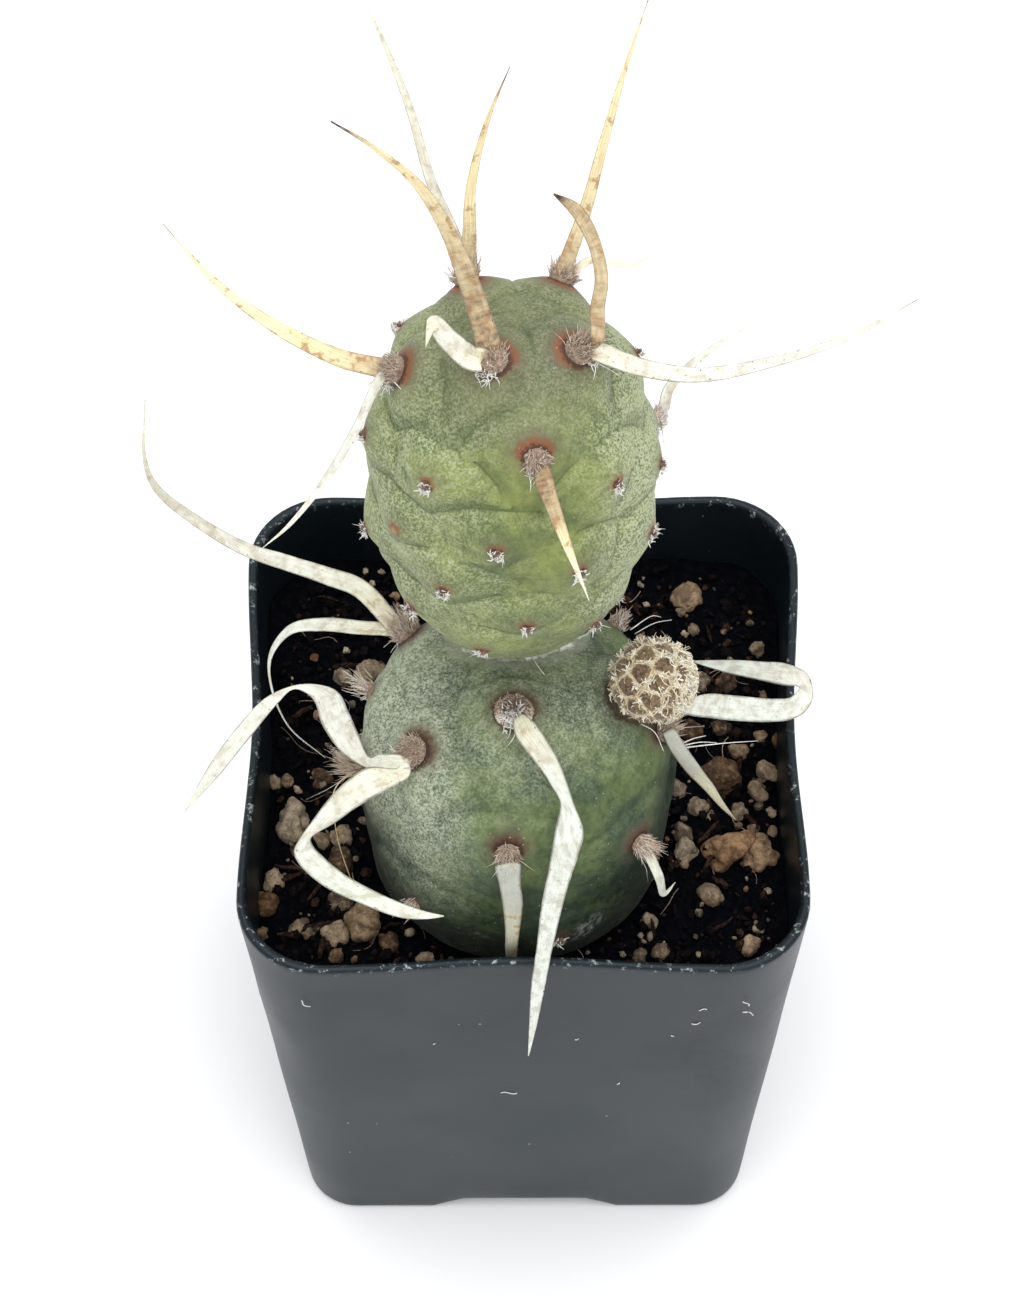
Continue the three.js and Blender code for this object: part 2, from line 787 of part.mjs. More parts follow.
function makeSoil() {
  const low = potRing(PLATE_HIGH + 1, WALL + GAP + 1.2);
  low.forEach((p) => p.setZ(PLATE_HIGH + GAP));
  const edge = potRing(SOIL_LEVEL, WALL + GAP);
  const rings = [low, potRing(PLATE_HIGH + 1.6, WALL + GAP)];
  const shares = [1, 0.84, 0.64, 0.4];
  for (const share of shares) {
    const ring = edge.map((p) => p.clone().multiplyScalar(share));
    ring.forEach((p) => p.setZ(soilHeight(p.x, p.y)));
    rings.push(ring);
  }
  const bottom = new THREE.Vector3(0, 0, PLATE_HIGH + GAP);
  const top = new THREE.Vector3(0, 0, soilHeight(0, 0));
  let soil = solid(loft(rings, bottom, top));
  const random = seeded(7);
  const grains = [...GRANULES];
  const limit = (RIM_WIDTH + FOOT_WIDTH) / 4 - GRANULE_LARGE;
  while (grains.length < GRANULES.length + GRANULE_COUNT) {
    const x = limit * (2 * random() - 1);
    const y = limit * (2 * random() - 1);
    const size = GRANULE_SMALL + (GRANULE_LARGE - GRANULE_SMALL) * random() ** 2;
    const alone = grains.every(([gx, gy, gr]) => Math.hypot(gx - x, gy - y) > gr + size);
    const besidePlant = Math.hypot(x - LOWER.middle[0], y - LOWER.middle[1]) > PLANT_CLEARANCE;
    const outOfCorner = Math.abs(x) + Math.abs(y) < 1.75 * limit;
    if (alone && besidePlant && outOfCorner) grains.push([x, y, size]);
  }
  for (const [x, y, size] of grains) {
    const Rock = size > 1.2 ? THREE.IcosahedronGeometry : THREE.OctahedronGeometry;
    const grain = new Rock(size, 0);
    grain.scale(1, 0.7 + 0.3 * random(), 0.6 + 0.3 * random());
    grain.rotateZ(random() * 6);
    grain.rotateX(0.5 * random());
    grain.translate(x, y, soilHeight(x, y) + GRANULE_SUNK * size);
    soil = soil.add(solid(grain));
  }
  const room = [potRing(PLATE_HIGH, WALL + GAP), potRing(SOIL_LEVEL + 5, WALL + GAP)];
  const middle = (z) => new THREE.Vector3(0, 0, z);
  return soil.intersect(solid(loft(room, middle(PLATE_HIGH), middle(SOIL_LEVEL + 5))));
}

// Bud

function makeBud(base, up, grow = 0) {
  const random = seeded(3);
  const scales = [];
  for (let k = 0; k < BUD_SCALES; k++) {
    const lift = 1 - (2 * (k + 0.5)) / BUD_SCALES;
    const turn = k * GOLDEN_ANGLE * DEG;
    const round = Math.sqrt(1 - lift * lift);
    scales.push(new THREE.Vector3(round * Math.cos(turn), round * Math.sin(turn), lift));
  }
  const surface = (rise, turn) => {
    const level = Math.sin(rise);
    const way = new THREE.Vector3(level * Math.cos(turn), level * Math.sin(turn), -Math.cos(rise));
    const nearest = Math.min(...scales.map((scale) => scale.distanceTo(way)));
    const dip = BUD_SCALE_RELIEF * Math.min(1, nearest / BUD_SCALE_REACH);
    return way.multiplyScalar(BUD_RADIUS - dip + grow);
  };
  const place = new THREE.Matrix4().makeRotationFromQuaternion(
    new THREE.Quaternion().setFromUnitVectors(new THREE.Vector3(0, 0, 1), up),
  );
  const middle = base.clone().addScaledVector(up, BUD_RADIUS - BUD_SUNK);
  place.setPosition(middle);
  const rings = [];
  for (let row = 1; row < BUD_ROWS; row++) {
    const ring = [];
    for (let k = 0; k < BUD_SIDES; k++) {
      ring.push(surface((row * Math.PI) / BUD_ROWS, (2 * k * Math.PI) / BUD_SIDES).applyMatrix4(place));
    }
    rings.push(ring);
  }
  const south = surface(0, 0).applyMatrix4(place);
  const north = surface(Math.PI, 0).applyMatrix4(place);
  let bud = solid(loft(rings, south, north));
  const neck = [[0, -1.2 - grow], [BUD_NECK + grow, -1.2 - grow], [BUD_NECK + grow, 1.5], [0, 1.5]];
  bud = bud.add(turned(neck, 10, base, up));
  if (grow > 0) return bud;
  for (const scale of scales) {
    const way = scale.clone().transformDirection(place);
    if (way.dot(up) < -0.35) continue;
    const root = middle.clone().addScaledVector(way, BUD_RADIUS - 0.9);
    const lean = new THREE.Vector3(random(), random(), random()).subScalar(0.5).multiplyScalar(0.5);
    const tip = middle.clone().addScaledVector(way.add(lean).normalize(), BUD_RADIUS + 0.7);
    bud = bud.add(needle(root, tip, 0.25));
  }
  return bud;
}

// Assembly

const plant = new THREE.Group();
const random = seeded(11);

const spiral = Array.from({ length: UPPER_AREOLES }, (_, i) => {
  const [turn, lift] = UPPER_SHIFTS[i] ?? [0, 0];
  return [UPPER_FIRST_ANGLE - GOLDEN_ANGLE * i + turn, upperHeight(i) + lift];
});
prepare(UPPER, spiral);
prepare(LOWER, Object.values(LOWER_AREOLES));

const skinLook = (color) => material(color, 0.75);
let upper = makeBody(UPPER);
let lower = makeBody(LOWER);
const clusterMeshes = [];

const upperSpined = Object.values(UPPER_CLUSTERS).map((cluster) => cluster.at);
spiral.forEach((areole, i) => {
  if (upperSpined.includes(i)) return;
  for (const tuft of woolTuft(UPPER, areole, random)) upper = upper.add(tuft);
});
for (const [name, cluster] of Object.entries(UPPER_CLUSTERS)) {
  const { shape, pit } = makeCluster(UPPER, { ...cluster, at: spiral[cluster.at] }, random);
  upper = upper.subtract(pit);
  clusterMeshes.push(mesh(`upper_spines_${name}`, shape, material(cluster.tone, 0.7)));
}

const lowerSpined = [...Object.values(LOWER_CLUSTERS).map((cluster) => cluster.at), 'bud'];
for (const [key, areole] of Object.entries(LOWER_AREOLES)) {
  if (lowerSpined.includes(key)) continue;
  for (const tuft of woolTuft(LOWER, areole, random)) lower = lower.add(tuft);
}
for (const [name, cluster] of Object.entries(LOWER_CLUSTERS)) {
  const { shape, pit } = makeCluster(LOWER, { ...cluster, at: LOWER_AREOLES[cluster.at] }, random);
  lower = lower.subtract(pit);
  clusterMeshes.push(mesh(`lower_spines_${name}`, shape, material(cluster.tone, 0.7)));
}

const budSeat = areoleSeat(LOWER, LOWER_AREOLES.bud);
lower = lower.subtract(makeBud(budSeat.base, budSeat.up, GAP));
lower = lower.subtract(makeBody(UPPER, GAP));
const soil = makeSoil().subtract(makeBody(LOWER, GAP));

plant.add(mesh('pot', makePot(), material(0x2b3136, 0.45)));
plant.add(mesh('soil', soil, material(0x1c1916, 0.95)));
plant.add(mesh('lower_segment', lower, skinLook(0x6b7f66)));
plant.add(mesh('upper_segment', upper, skinLook(0x7c8f5c)));
plant.add(mesh('bud', makeBud(budSeat.base, budSeat.up), material(0xa8875c, 0.85)));
plant.add(...clusterMeshes);

export default plant;
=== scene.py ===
import math

import bmesh
import bpy
import numpy as np
from mathutils import Matrix, noise


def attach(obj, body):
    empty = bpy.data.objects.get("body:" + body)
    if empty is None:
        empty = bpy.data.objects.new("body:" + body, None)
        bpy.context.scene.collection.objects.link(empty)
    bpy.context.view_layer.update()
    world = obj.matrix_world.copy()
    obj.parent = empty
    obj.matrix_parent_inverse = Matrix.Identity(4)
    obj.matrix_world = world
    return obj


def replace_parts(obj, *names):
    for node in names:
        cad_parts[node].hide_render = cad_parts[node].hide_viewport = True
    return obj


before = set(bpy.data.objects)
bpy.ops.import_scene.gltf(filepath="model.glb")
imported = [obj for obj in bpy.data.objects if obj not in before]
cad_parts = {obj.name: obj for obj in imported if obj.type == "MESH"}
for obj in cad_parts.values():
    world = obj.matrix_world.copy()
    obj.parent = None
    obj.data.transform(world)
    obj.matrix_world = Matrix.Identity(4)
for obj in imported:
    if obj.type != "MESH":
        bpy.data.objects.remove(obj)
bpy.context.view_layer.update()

# A paper spine cactus of two stacked segments in a small square pot.
# Sizes and places are in millimetres, and MM makes metres of them.
MM = 0.001
DEG = math.pi / 180

# Camera
CAMERA_PLACE = (0.872, -250.08, 455.6)
CAMERA_PITCH = 56.96 * DEG
CAMERA_YAW = -0.43 * DEG
CAMERA_ROLL = -0.49 * DEG
FOCAL_PIXELS = 4897.8
PHOTO_HEIGHT = 1303
SENSOR_HEIGHT = 36

# Pot
POT_HEIGHT = 58
RIM_WIDTH = 54
FOOT_WIDTH = 44.6
RIM_CORNER = 8
FOOT_CORNER = 5
SIDE_BOW = 0.9
WALL = 0.9
SKIRT = 1.3
PLATE_LOW = 2
PLATE_HIGH = 3.2
NOTCH_TOP = 6.2
NOTCH_KNEE = 8.65
NOTCH_FOOT = 9.25
DRAIN_RADIUS = 2.5
DRAIN_OFFSET = 13

# Soil
SOIL_LEVEL = 49
SOIL_ROUGHNESS = 0.7

# Segments: each profile is a list of radius and height
GOLDEN_ANGLE = 137.5
UPPER_FIRST_ANGLE = 251
UPPER_AREOLES = 38
UPPER_SHIFTS = {
    1: (6, -0.6), 2: (-1, 1.5), 3: (-10, -0.8), 4: (0, 1.6), 5: (-2, 0), 6: (6, 1), 7: (6, 1),
    8: (3, -0.8), 11: (10, 0), 13: (1, -0.8), 15: (-1, 1), 16: (10, 0), 20: (0, 3), 23: (7, 2),
    24: (3, 1),
}
UPPER_PROFILE = [
    (0, -21.2), (4.4, -19.8), (8.8, -15), (12.1, -8), (13.2, -1),
    (12.9, 6), (11.2, 12), (8.6, 16.5), (4.6, 19.2), (0, 20.2),
]
LOWER_PROFILE = [
    (0, -17), (7.5, -14.5), (12.8, -9.5), (14.8, -4), (15.2, 1.5),
    (14.8, 7), (13.7, 12), (10.8, 15.6), (5.6, 17.8), (0, 18.3),
]
LOWER_AREOLES = {
    "disc": (267, 18.1), "bud": (356.5, 15.9), "left": (213, 15.4), "back_left": (138, 13),
    "back_right": (47, 13), "far_left": (168, 12.5), "right": (351, 12.8), "front": (267, 11.1),
    "back": (95, 11.5), "side_left": (193, 9.4), "front_right": (318, 6.7), "back_low": (66, 5.5),
    "back_low_left": (128, 5), "right_low": (20, 3), "left_low": (160, 1.5),
    "front_left_low": (232, -0.3), "front_low": (285, -2.5), "back_lowest": (98, -2),
}
LOWER_NAMES = list(LOWER_AREOLES)

# Upper areole that has lost its wool, and the way and length of the brush on some lower ones
BARE_AREOLE = 16
LOWER_BRUSHES = {
    "back_right": ((1.2, 0.8, 1.4), 1.7), "far_left": ((-2.6, 1.5, -0.2), 2.3),
    "front_left_low": ((-1.6, -1.4, 0.5), 1.5),
}
# Long bristles that leave them
LOWER_BRISTLES = [
    [(10.5, 1.8, 71.3), (12.4, 2.5, 72.1), (14, 2.9, 72)],
    [(10.1, 2, 71.7), (12, 4.2, 70.6), (13.1, 6, 67.8)],
    [(10.9, -10.4, 74.8), (12.1, -11.4, 75), (12.9, -13, 74.3)],
]

# Folds of the skin that arch over each areole
FOLD_REACH = 4.1
FOLD_FLATNESS = 0.58

# Route of the papery seam on top of the lower segment, as x and y, and the middle that it bends round
SEAM = [
    (-8.2, 1.8), (-6.8, -0.2), (-5.1, -2.4), (-3, -3.6), (-0.9, -3.9), (1.2, -3.5), (3.3, -2.4), (5.1, -0.8),
    (6.7, 1.4),
]
SEAM_MIDDLE = (-0.9, 4.7)
SEAM_END = 9
# Places along it, from 0 to 1, that carry a white flake
SEAM_FLAKES = [0.31, 0.6, 0.8]
# Place of the neck under the upper segment, and its rings: rise over the lower segment's skin, radius
NECK_PLACE = (-0.8, -0.9)
NECK_RINGS = [(-0.8, 2.8), (-0.2, 2.6), (0.15, 2.45), (0.5, 2.45), (0.8, 2.6), (1.2, 2.6)]

# Bud
BUD_RADIUS = 4.1
BUD_SUNK = 0.7
BUD_SCALES = 46

# Ribbon spines
RIBBON_STEPS = 9
RIBBON_FOOT_WIDTH = 1
RIBBON_WAIST = 0.7
RIBBON_RIPPLE = 0.04
PAPER = "spine_paper"
TAN = "spine_tan"
UP = (0, 0, 1)
FRONT = (0, -1, 0.2)
NORMAL_FACE = (0, -0.5, 0.85)

# Thickness of hairs from root to tip, as shares of their full thickness
FIBRE_TAPER = np.array([1, 1, 0.7, 0.2])
BRUSH_TAPER = np.array([1, 1, 0.8, 0.6, 0.2])
HAIR_TAPER = np.array([1, 1, 0.9, 0.7, 0.3])
WOOL_TAPER = np.array([1, 1, 1, 0.9, 0.7, 0.3])

# Starts of the random series
SEEDS = dict(
    bud=5, fringe=14, crumbs=21, crumb_forms=22, grains=23, grain_forms=24, boulder_forms=25,
    small_grain_forms=26, fibres=27, areoles=31, lint=41, upper_clusters=100, lower_clusters=300,
)


def random_of(seed):
    """A random series, by its name in SEEDS or by its number."""
    return np.random.default_rng(SEEDS.get(seed, seed))


def unit(vectors):
    return vectors / np.maximum(np.linalg.norm(vectors, axis=-1, keepdims=True), 1e-9)


def smoothstep(low, high, value):
    share = np.clip((value - low) / (high - low), 0, 1)
    return share * share * (3 - 2 * share)


def noise_at(points, size, seed=0):
    """Smooth noise from about -1 to 1, with humps about "size" millimetres apart."""
    shift = 17.3 * seed
    places = points.reshape(-1, 3).tolist()
    values = np.array([noise.noise((x / size + shift, y / size, z / size)) for x, y, z in places])
    return values.reshape(points.shape[:-1])


def drift(places):
    return np.array([noise.noise(place) for place in places])


def side_axes(up):
    helper = np.array([0.0, 0.0, 1.0]) if abs(up[2]) < 0.9 else np.array([0.0, 1.0, 0.0])
    across = unit(np.cross(helper, up))
    return across, np.cross(up, across)


def around(turn, up):
    """Directions square to "up", at angles round it."""
    across, over = side_axes(up)
    return np.outer(np.cos(turn), across) + np.outer(np.sin(turn), over)


def circle(count, up):
    return around(np.arange(count) * 2 * np.pi / count, up)


def any_turn(random, count):
    return random.random(count) * 2 * np.pi


# Meshes


class Shape:
    """Points in millimetres, faces and values per point that together make one piece."""

    def __init__(self):
        self.points = []
        self.blocks = []
        self.values = []
        self.count = 0

    def add(self, points, blocks, **values):
        self.points.append(points)
        self.blocks += [np.asarray(block) + self.count for block in blocks]
        self.values.append((len(points), values))
        self.count += len(points)

    def add_strands(self, paths, radii, sides=3, **values):
        """Thin closed tubes along paths, with one value for all of them or one for each."""
        count, steps, _ = np.shape(paths)
        each = {}
        for key, value in values.items():
            each[key] = np.repeat(np.broadcast_to(value, count), steps * sides)
        self.add(*tubes(paths, radii, sides), **each)

    def build(self, name, look, smooth=True):
        mesh = bpy.data.meshes.new(name)
        points = np.concatenate(self.points) * MM
        faces = [face for block in self.blocks for face in block.tolist()]
        mesh.from_pydata(points.tolist(), [], faces)
        for key in sorted({key for _, values in self.values for key in values}):
            parts = [np.broadcast_to(values.get(key, 0.0), count) for count, values in self.values]
            mesh.attributes.new(key, "FLOAT", "POINT").data.foreach_set("value", np.concatenate(parts))
        mesh.polygons.foreach_set("use_smooth", [smooth] * len(faces))
        mesh.materials.append(LOOKS[look])
        mesh.update()
        piece = bpy.data.objects.new(name, mesh)
        bpy.context.scene.collection.objects.link(piece)
        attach(piece, "root")
        return piece


def lofted(rings, start, end):
    """Closed surface through rings of equal point count, with a middle point at each end."""
    rings = np.asarray(rings, float)
    rows, sides, _ = rings.shape
    k = np.arange(sides)
    beside = (k + 1) % sides
    row = (1 + np.arange(rows - 1) * sides)[:, None]
    quads = np.stack([row + k, row + beside, row + beside + sides, row + k + sides], -1).reshape(-1, 4)
    last = 1 + (rows - 1) * sides
    foot = np.stack([np.zeros(sides, int), 1 + beside, 1 + k], -1)
    head = np.stack([np.full(sides, last + sides), last + k, last + beside], -1)
    points = np.concatenate([[start], rings.reshape(-1, 3), [end]])
    return points, [quads, foot, head]


def tubes(paths, radii, sides):
    """Thin closed tubes along many paths of equal point count."""
    paths = np.asarray(paths, float)
    count, steps, _ = paths.shape
    along = unit(np.gradient(paths, axis=1))
    helper = np.where(np.abs(along[:, :1, 2:]) < 0.8, [0.0, 0.0, 1.0], [1.0, 0.0, 0.0])
    across = unit(np.cross(along, np.broadcast_to(helper, along.shape)))
    over = np.cross(along, across)
    turn = (2 * np.pi * np.arange(sides) / sides)[:, None]
    size = np.broadcast_to(radii, (count, steps))[..., None, None]
    ring = paths[:, :, None] + size * (np.cos(turn) * across[:, :, None] + np.sin(turn) * over[:, :, None])
    k = np.arange(sides)
    start = (np.arange(count) * steps * sides)[:, None, None]
    row = (np.arange(steps - 1) * sides)[None, :, None]
    here = start + row + k
    beside = start + row + (k + 1) % sides
    quads = np.stack([here, beside, beside + sides, here + sides], -1).reshape(-1, 4)
    first = start[:, 0] + k[::-1]
    last = start[:, 0] + (steps - 1) * sides + k
    return ring.reshape(-1, 3), [quads, first, last]


def curls(roots, ways, lengths, curl, random, steps):
    """Paths that leave their roots along their ways and wander from them."""
    count = len(roots)
    share = np.linspace(0, 1, steps)[None, :, None]
    side = unit(np.cross(ways, random.normal(size=(count, 3))))[:, None]
    bend = random.normal(size=(count, 3))[:, None] * curl
    wave = np.sin(share * random.uniform(2, 6, (count, 1, 1))) * curl * 0.5
    form = share * ways[:, None] + share ** 2 * bend + wave * side
    return roots[:, None] + lengths[:, None, None] * form


def rocks(centres, radii, seed, level, rough, flat):
    """Craggy grains: balls with waves of random direction, each stretched and turned."""
    random = random_of(seed)
    ball = bmesh.new()
    bmesh.ops.create_icosphere(ball, subdivisions=level, radius=1)
    points = np.array([vertex.co for vertex in ball.verts])
    faces = np.array([[vertex.index for vertex in face.verts] for face in ball.faces])
    ball.free()
    count = len(centres)
    waves = 7
    pace = random.uniform(1.2, 6, (count, waves))
    ways = unit(random.normal(size=(count, waves, 3))) * pace[..., None]
    swell = np.einsum("pj,cwj->cpw", points, ways) + random.uniform(0, 6, (count, 1, waves))
    height = ((np.abs(np.sin(swell)) - 0.64) / pace[:, None] ** 0.8).sum(-1)
    shell = points[None] * (1 + rough * height)[..., None]
    shell = shell * np.stack([np.ones(count), *random.uniform(flat, 1, (2, count))], -1)[:, None]
    turns, _ = np.linalg.qr(random.normal(size=(count, 3, 3)))
    turns[:, 0] *= np.sign(np.linalg.det(turns))[:, None]
    shell = np.einsum("cpj,cjk->cpk", shell, turns)
    shell = shell * np.asarray(radii)[:, None, None] + np.asarray(centres)[:, None]
    step = (np.arange(count) * len(points))[:, None, None]
    return shell.reshape(-1, 3), [(faces[None] + step).reshape(-1, 3)], len(points)


def spline(points, share):
    """Places on the smooth curve through "points", at shares of it from 0 to 1."""
    points = np.asarray(points, float)
    place = np.asarray(share) * (len(points) - 1)
    index = np.minimum(place.astype(int), len(points) - 2)
    t = (place - index)[..., None]
    before = points[np.maximum(index - 1, 0)]
    after = points[np.minimum(index + 2, len(points) - 1)]
    start, end = points[index], points[index + 1]
    return cubic(start, end, (end - before) / 2, (after - start) / 2, t)


def cubic(start, end, v0, v1, t):
    """Place on the curve that leaves its start at speed v0 and meets its end at speed v1."""
    turn = 2 * start - 2 * end + v0 + v1
    bend = 3 * end - 3 * start - 2 * v0 - v1
    return turn * t ** 3 + bend * t ** 2 + v0 * t + start


def route_curve(route, steps):
    """Places on the centripetal curve through a route, "steps" to a span."""
    route = np.asarray(route, float)
    line = np.concatenate([[2 * route[0] - route[1]], route, [2 * route[-1] - route[-2]]])
    places = []
    for p0, p1, p2, p3 in zip(line, line[1:], line[2:], line[3:]):
        d0, d1, d2 = (np.linalg.norm(b - a) ** 0.5 for a, b in ((p0, p1), (p1, p2), (p2, p3)))
        v0 = ((p1 - p0) / d0 - (p2 - p0) / (d0 + d1) + (p2 - p1) / d1) * d1
        v1 = ((p2 - p1) / d1 - (p3 - p1) / (d1 + d2) + (p3 - p2) / d2) * d1
        places.append(cubic(p1, p2, v0, v1, np.arange(steps)[:, None] / steps))
    return np.concatenate([*places, [route[-1]]])


# Materials


class Field:
    """A value or colour that varies over a material's surface: the output of one of its nodes."""

    def __init__(self, look, socket):
        self.look = look
        self.socket = socket

    def __add__(self, other):
        return self.look.math("ADD", self, other)

    def __sub__(self, other):
        return self.look.math("SUBTRACT", self, other)

    def __mul__(self, other):
        return self.look.math("MULTIPLY", self, other)

    def band(self, low, high, start=0.0, end=1.0):
        """The value's share of the way from low to high, smoothed, as a number from start to end."""
        inputs = {"Value": self, "From Min": low, "From Max": high, "To Min": start, "To Max": end}
        return self.look.node("MapRange", "Result", inputs, interpolation_type="SMOOTHSTEP")

    def near(self, centre, reach):
        """1 where the value is at the centre, falling to 0 at the reach."""
        return self.look.math("ABSOLUTE", self - centre).band(reach, 0.2 * reach)


class Look:
    """A material while its nodes are joined. Lengths in it are in millimetres."""

    def __init__(self, name, roughness, **sockets):
        self.material = bpy.data.materials.new(name)
        self.material.use_nodes = True
        self.tree = self.material.node_tree
        self.shader = self.tree.nodes["Principled BSDF"]
        for socket, value in dict(Roughness=roughness, **sockets).items():
            self.shader.inputs[socket.replace("_", " ")].default_value = value
        self.place = self.node("TexCoord", "Object")

    def join(self, source, socket):
        if isinstance(source, Field):
            self.tree.links.new(source.socket, socket)
        elif isinstance(source, (int, float)) or len(source) == len(socket.default_value):
            socket.default_value = source
        else:
            socket.default_value = (*source, 1)

    def node(self, kind, output, inputs=(), **settings):
        """One output of a new node, with the node's inputs by name or number."""
        node = self.tree.nodes.new(f"ShaderNode{kind}")
        for key, value in settings.items():
            setattr(node, key, value)
        for socket, source in dict(inputs).items():
            self.join(source, node.inputs[socket])
        return Field(self, node.outputs[output])

    def noise(self, size, detail=3, rough=0.55):
        return self.noise_on(self.place, 1 / (size * MM), detail, rough)

    def noise_on(self, vector, scale, detail, rough):
        inputs = {"Scale": scale, "Detail": detail, "Roughness": rough, "Vector": vector}
        return self.node("TexNoise", "Fac", inputs)

    def cells(self, size):
        return self.node("TexVoronoi", "Distance", {"Scale": 1 / (size * MM), "Vector": self.place})

    def value(self, name):
        return self.node("Attribute", "Fac", attribute_name=name)

    def math(self, operation, *values):
        return self.node("Math", 0, enumerate(values), operation=operation)

    def vector(self, *values):
        return self.node("CombineXYZ", 0, enumerate(values))

    def mix(self, share, a, b):
        return self.node("Mix", 2, {"Factor": share, 6: a, 7: b}, data_type="RGBA")

    def paint(self, share, color):
        """Lay a colour over the one so far."""
        self.color = self.mix(share, self.color, color)

    def finish(self, height=None, depth=0, roughness=None):
        self.join(self.color, self.shader.inputs["Base Color"])
        if roughness is not None:
            self.join(roughness, self.shader.inputs["Roughness"])
        if height is not None:
            bump = self.node("Bump", "Normal", {"Distance": depth * MM, "Strength": 1, "Height": height})
            self.join(bump, self.shader.inputs["Normal"])
        return self.material


def pot_look():
    look = Look("pot_satin_plastic", 0.4, Specular_IOR_Level=0.3, Specular_Tint=(0.8, 0.92, 1, 1))
    haze = look.noise(14).band(0.3, 0.75)
    look.color = look.mix(haze, (0.0045, 0.0075, 0.0105), (0.007, 0.011, 0.0145))
    # Paler toward the foot: a painted reflection of the lit floor in the wall.
    look.paint(look.value("film") * haze.band(0, 1, 0.85, 1), (0.023, 0.029, 0.03))
    look.paint(look.value("smudge") * look.noise(1.6).band(0.52, 0.62) * 0.5, (0.002, 0.003, 0.004))
    look.paint(look.value("rim") * look.noise(0.9, 6, 0.75).band(0.56, 0.66) * 0.75, (0.42, 0.46, 0.45))
    look.paint(look.cells(2.9).band(0.05, 0.035) * look.noise(7, 2).band(0.5, 0.6) * 0.5, (0.5, 0.5, 0.48))
    return look.finish(look.noise(0.5, 4, 0.7), 0.01, haze.band(0, 1, 0.38, 0.46))


def soil_look():
    look = Look("peat", 0.95, Specular_IOR_Level=0.05)
    clods = look.noise(0.8, 5, 0.65)
    look.color = look.mix(clods.band(0.42, 0.68), (0.0006, 0.0009, 0.002), (0.0035, 0.0034, 0.0048))
    look.paint(look.noise(0.45).band(0.68, 0.74) * 0.3, (0.04, 0.02, 0.014))
    return look.finish(clods, 0.3)


def crumb_look():
    look = Look("peat_crumbs", 0.9, Specular_IOR_Level=0.08)
    grain = look.noise(0.35, 4).band(0.35, 0.7)
    dark = look.mix(grain, (0.0006, 0.0008, 0.0016), (0.0042, 0.0036, 0.0046))
    bark = look.mix(grain, (0.016, 0.008, 0.006), (0.075, 0.036, 0.024))
    look.color = look.mix(look.value("tone"), dark, bark)
    return look.finish(look.noise(0.2, 4), 0.08)


def grain_look():
    look = Look("pumice", 0.85, Specular_IOR_Level=0.25)
    patch = look.noise(0.9, 4, 0.6).band(0.38, 0.62)
    pits = look.noise(0.22, 4, 0.7)
    cream = look.mix(patch, (0.27, 0.22, 0.15), (0.5, 0.42, 0.3))
    orange = look.mix(patch, (0.13, 0.05, 0.016), (0.36, 0.19, 0.075))
    look.color = look.mix(look.value("tone"), cream, orange)
    look.paint(pits.band(0.5, 0.32, 0, 0.75), (0.1, 0.055, 0.03))
    # Some grains darker, by the amount given for each.
    look.paint(look.value("dust") * look.noise(0.5, 4).band(0.3, 0.55, 0.4, 1.25), (0.014, 0.011, 0.01))
    return look.finish(pits, 0.16)


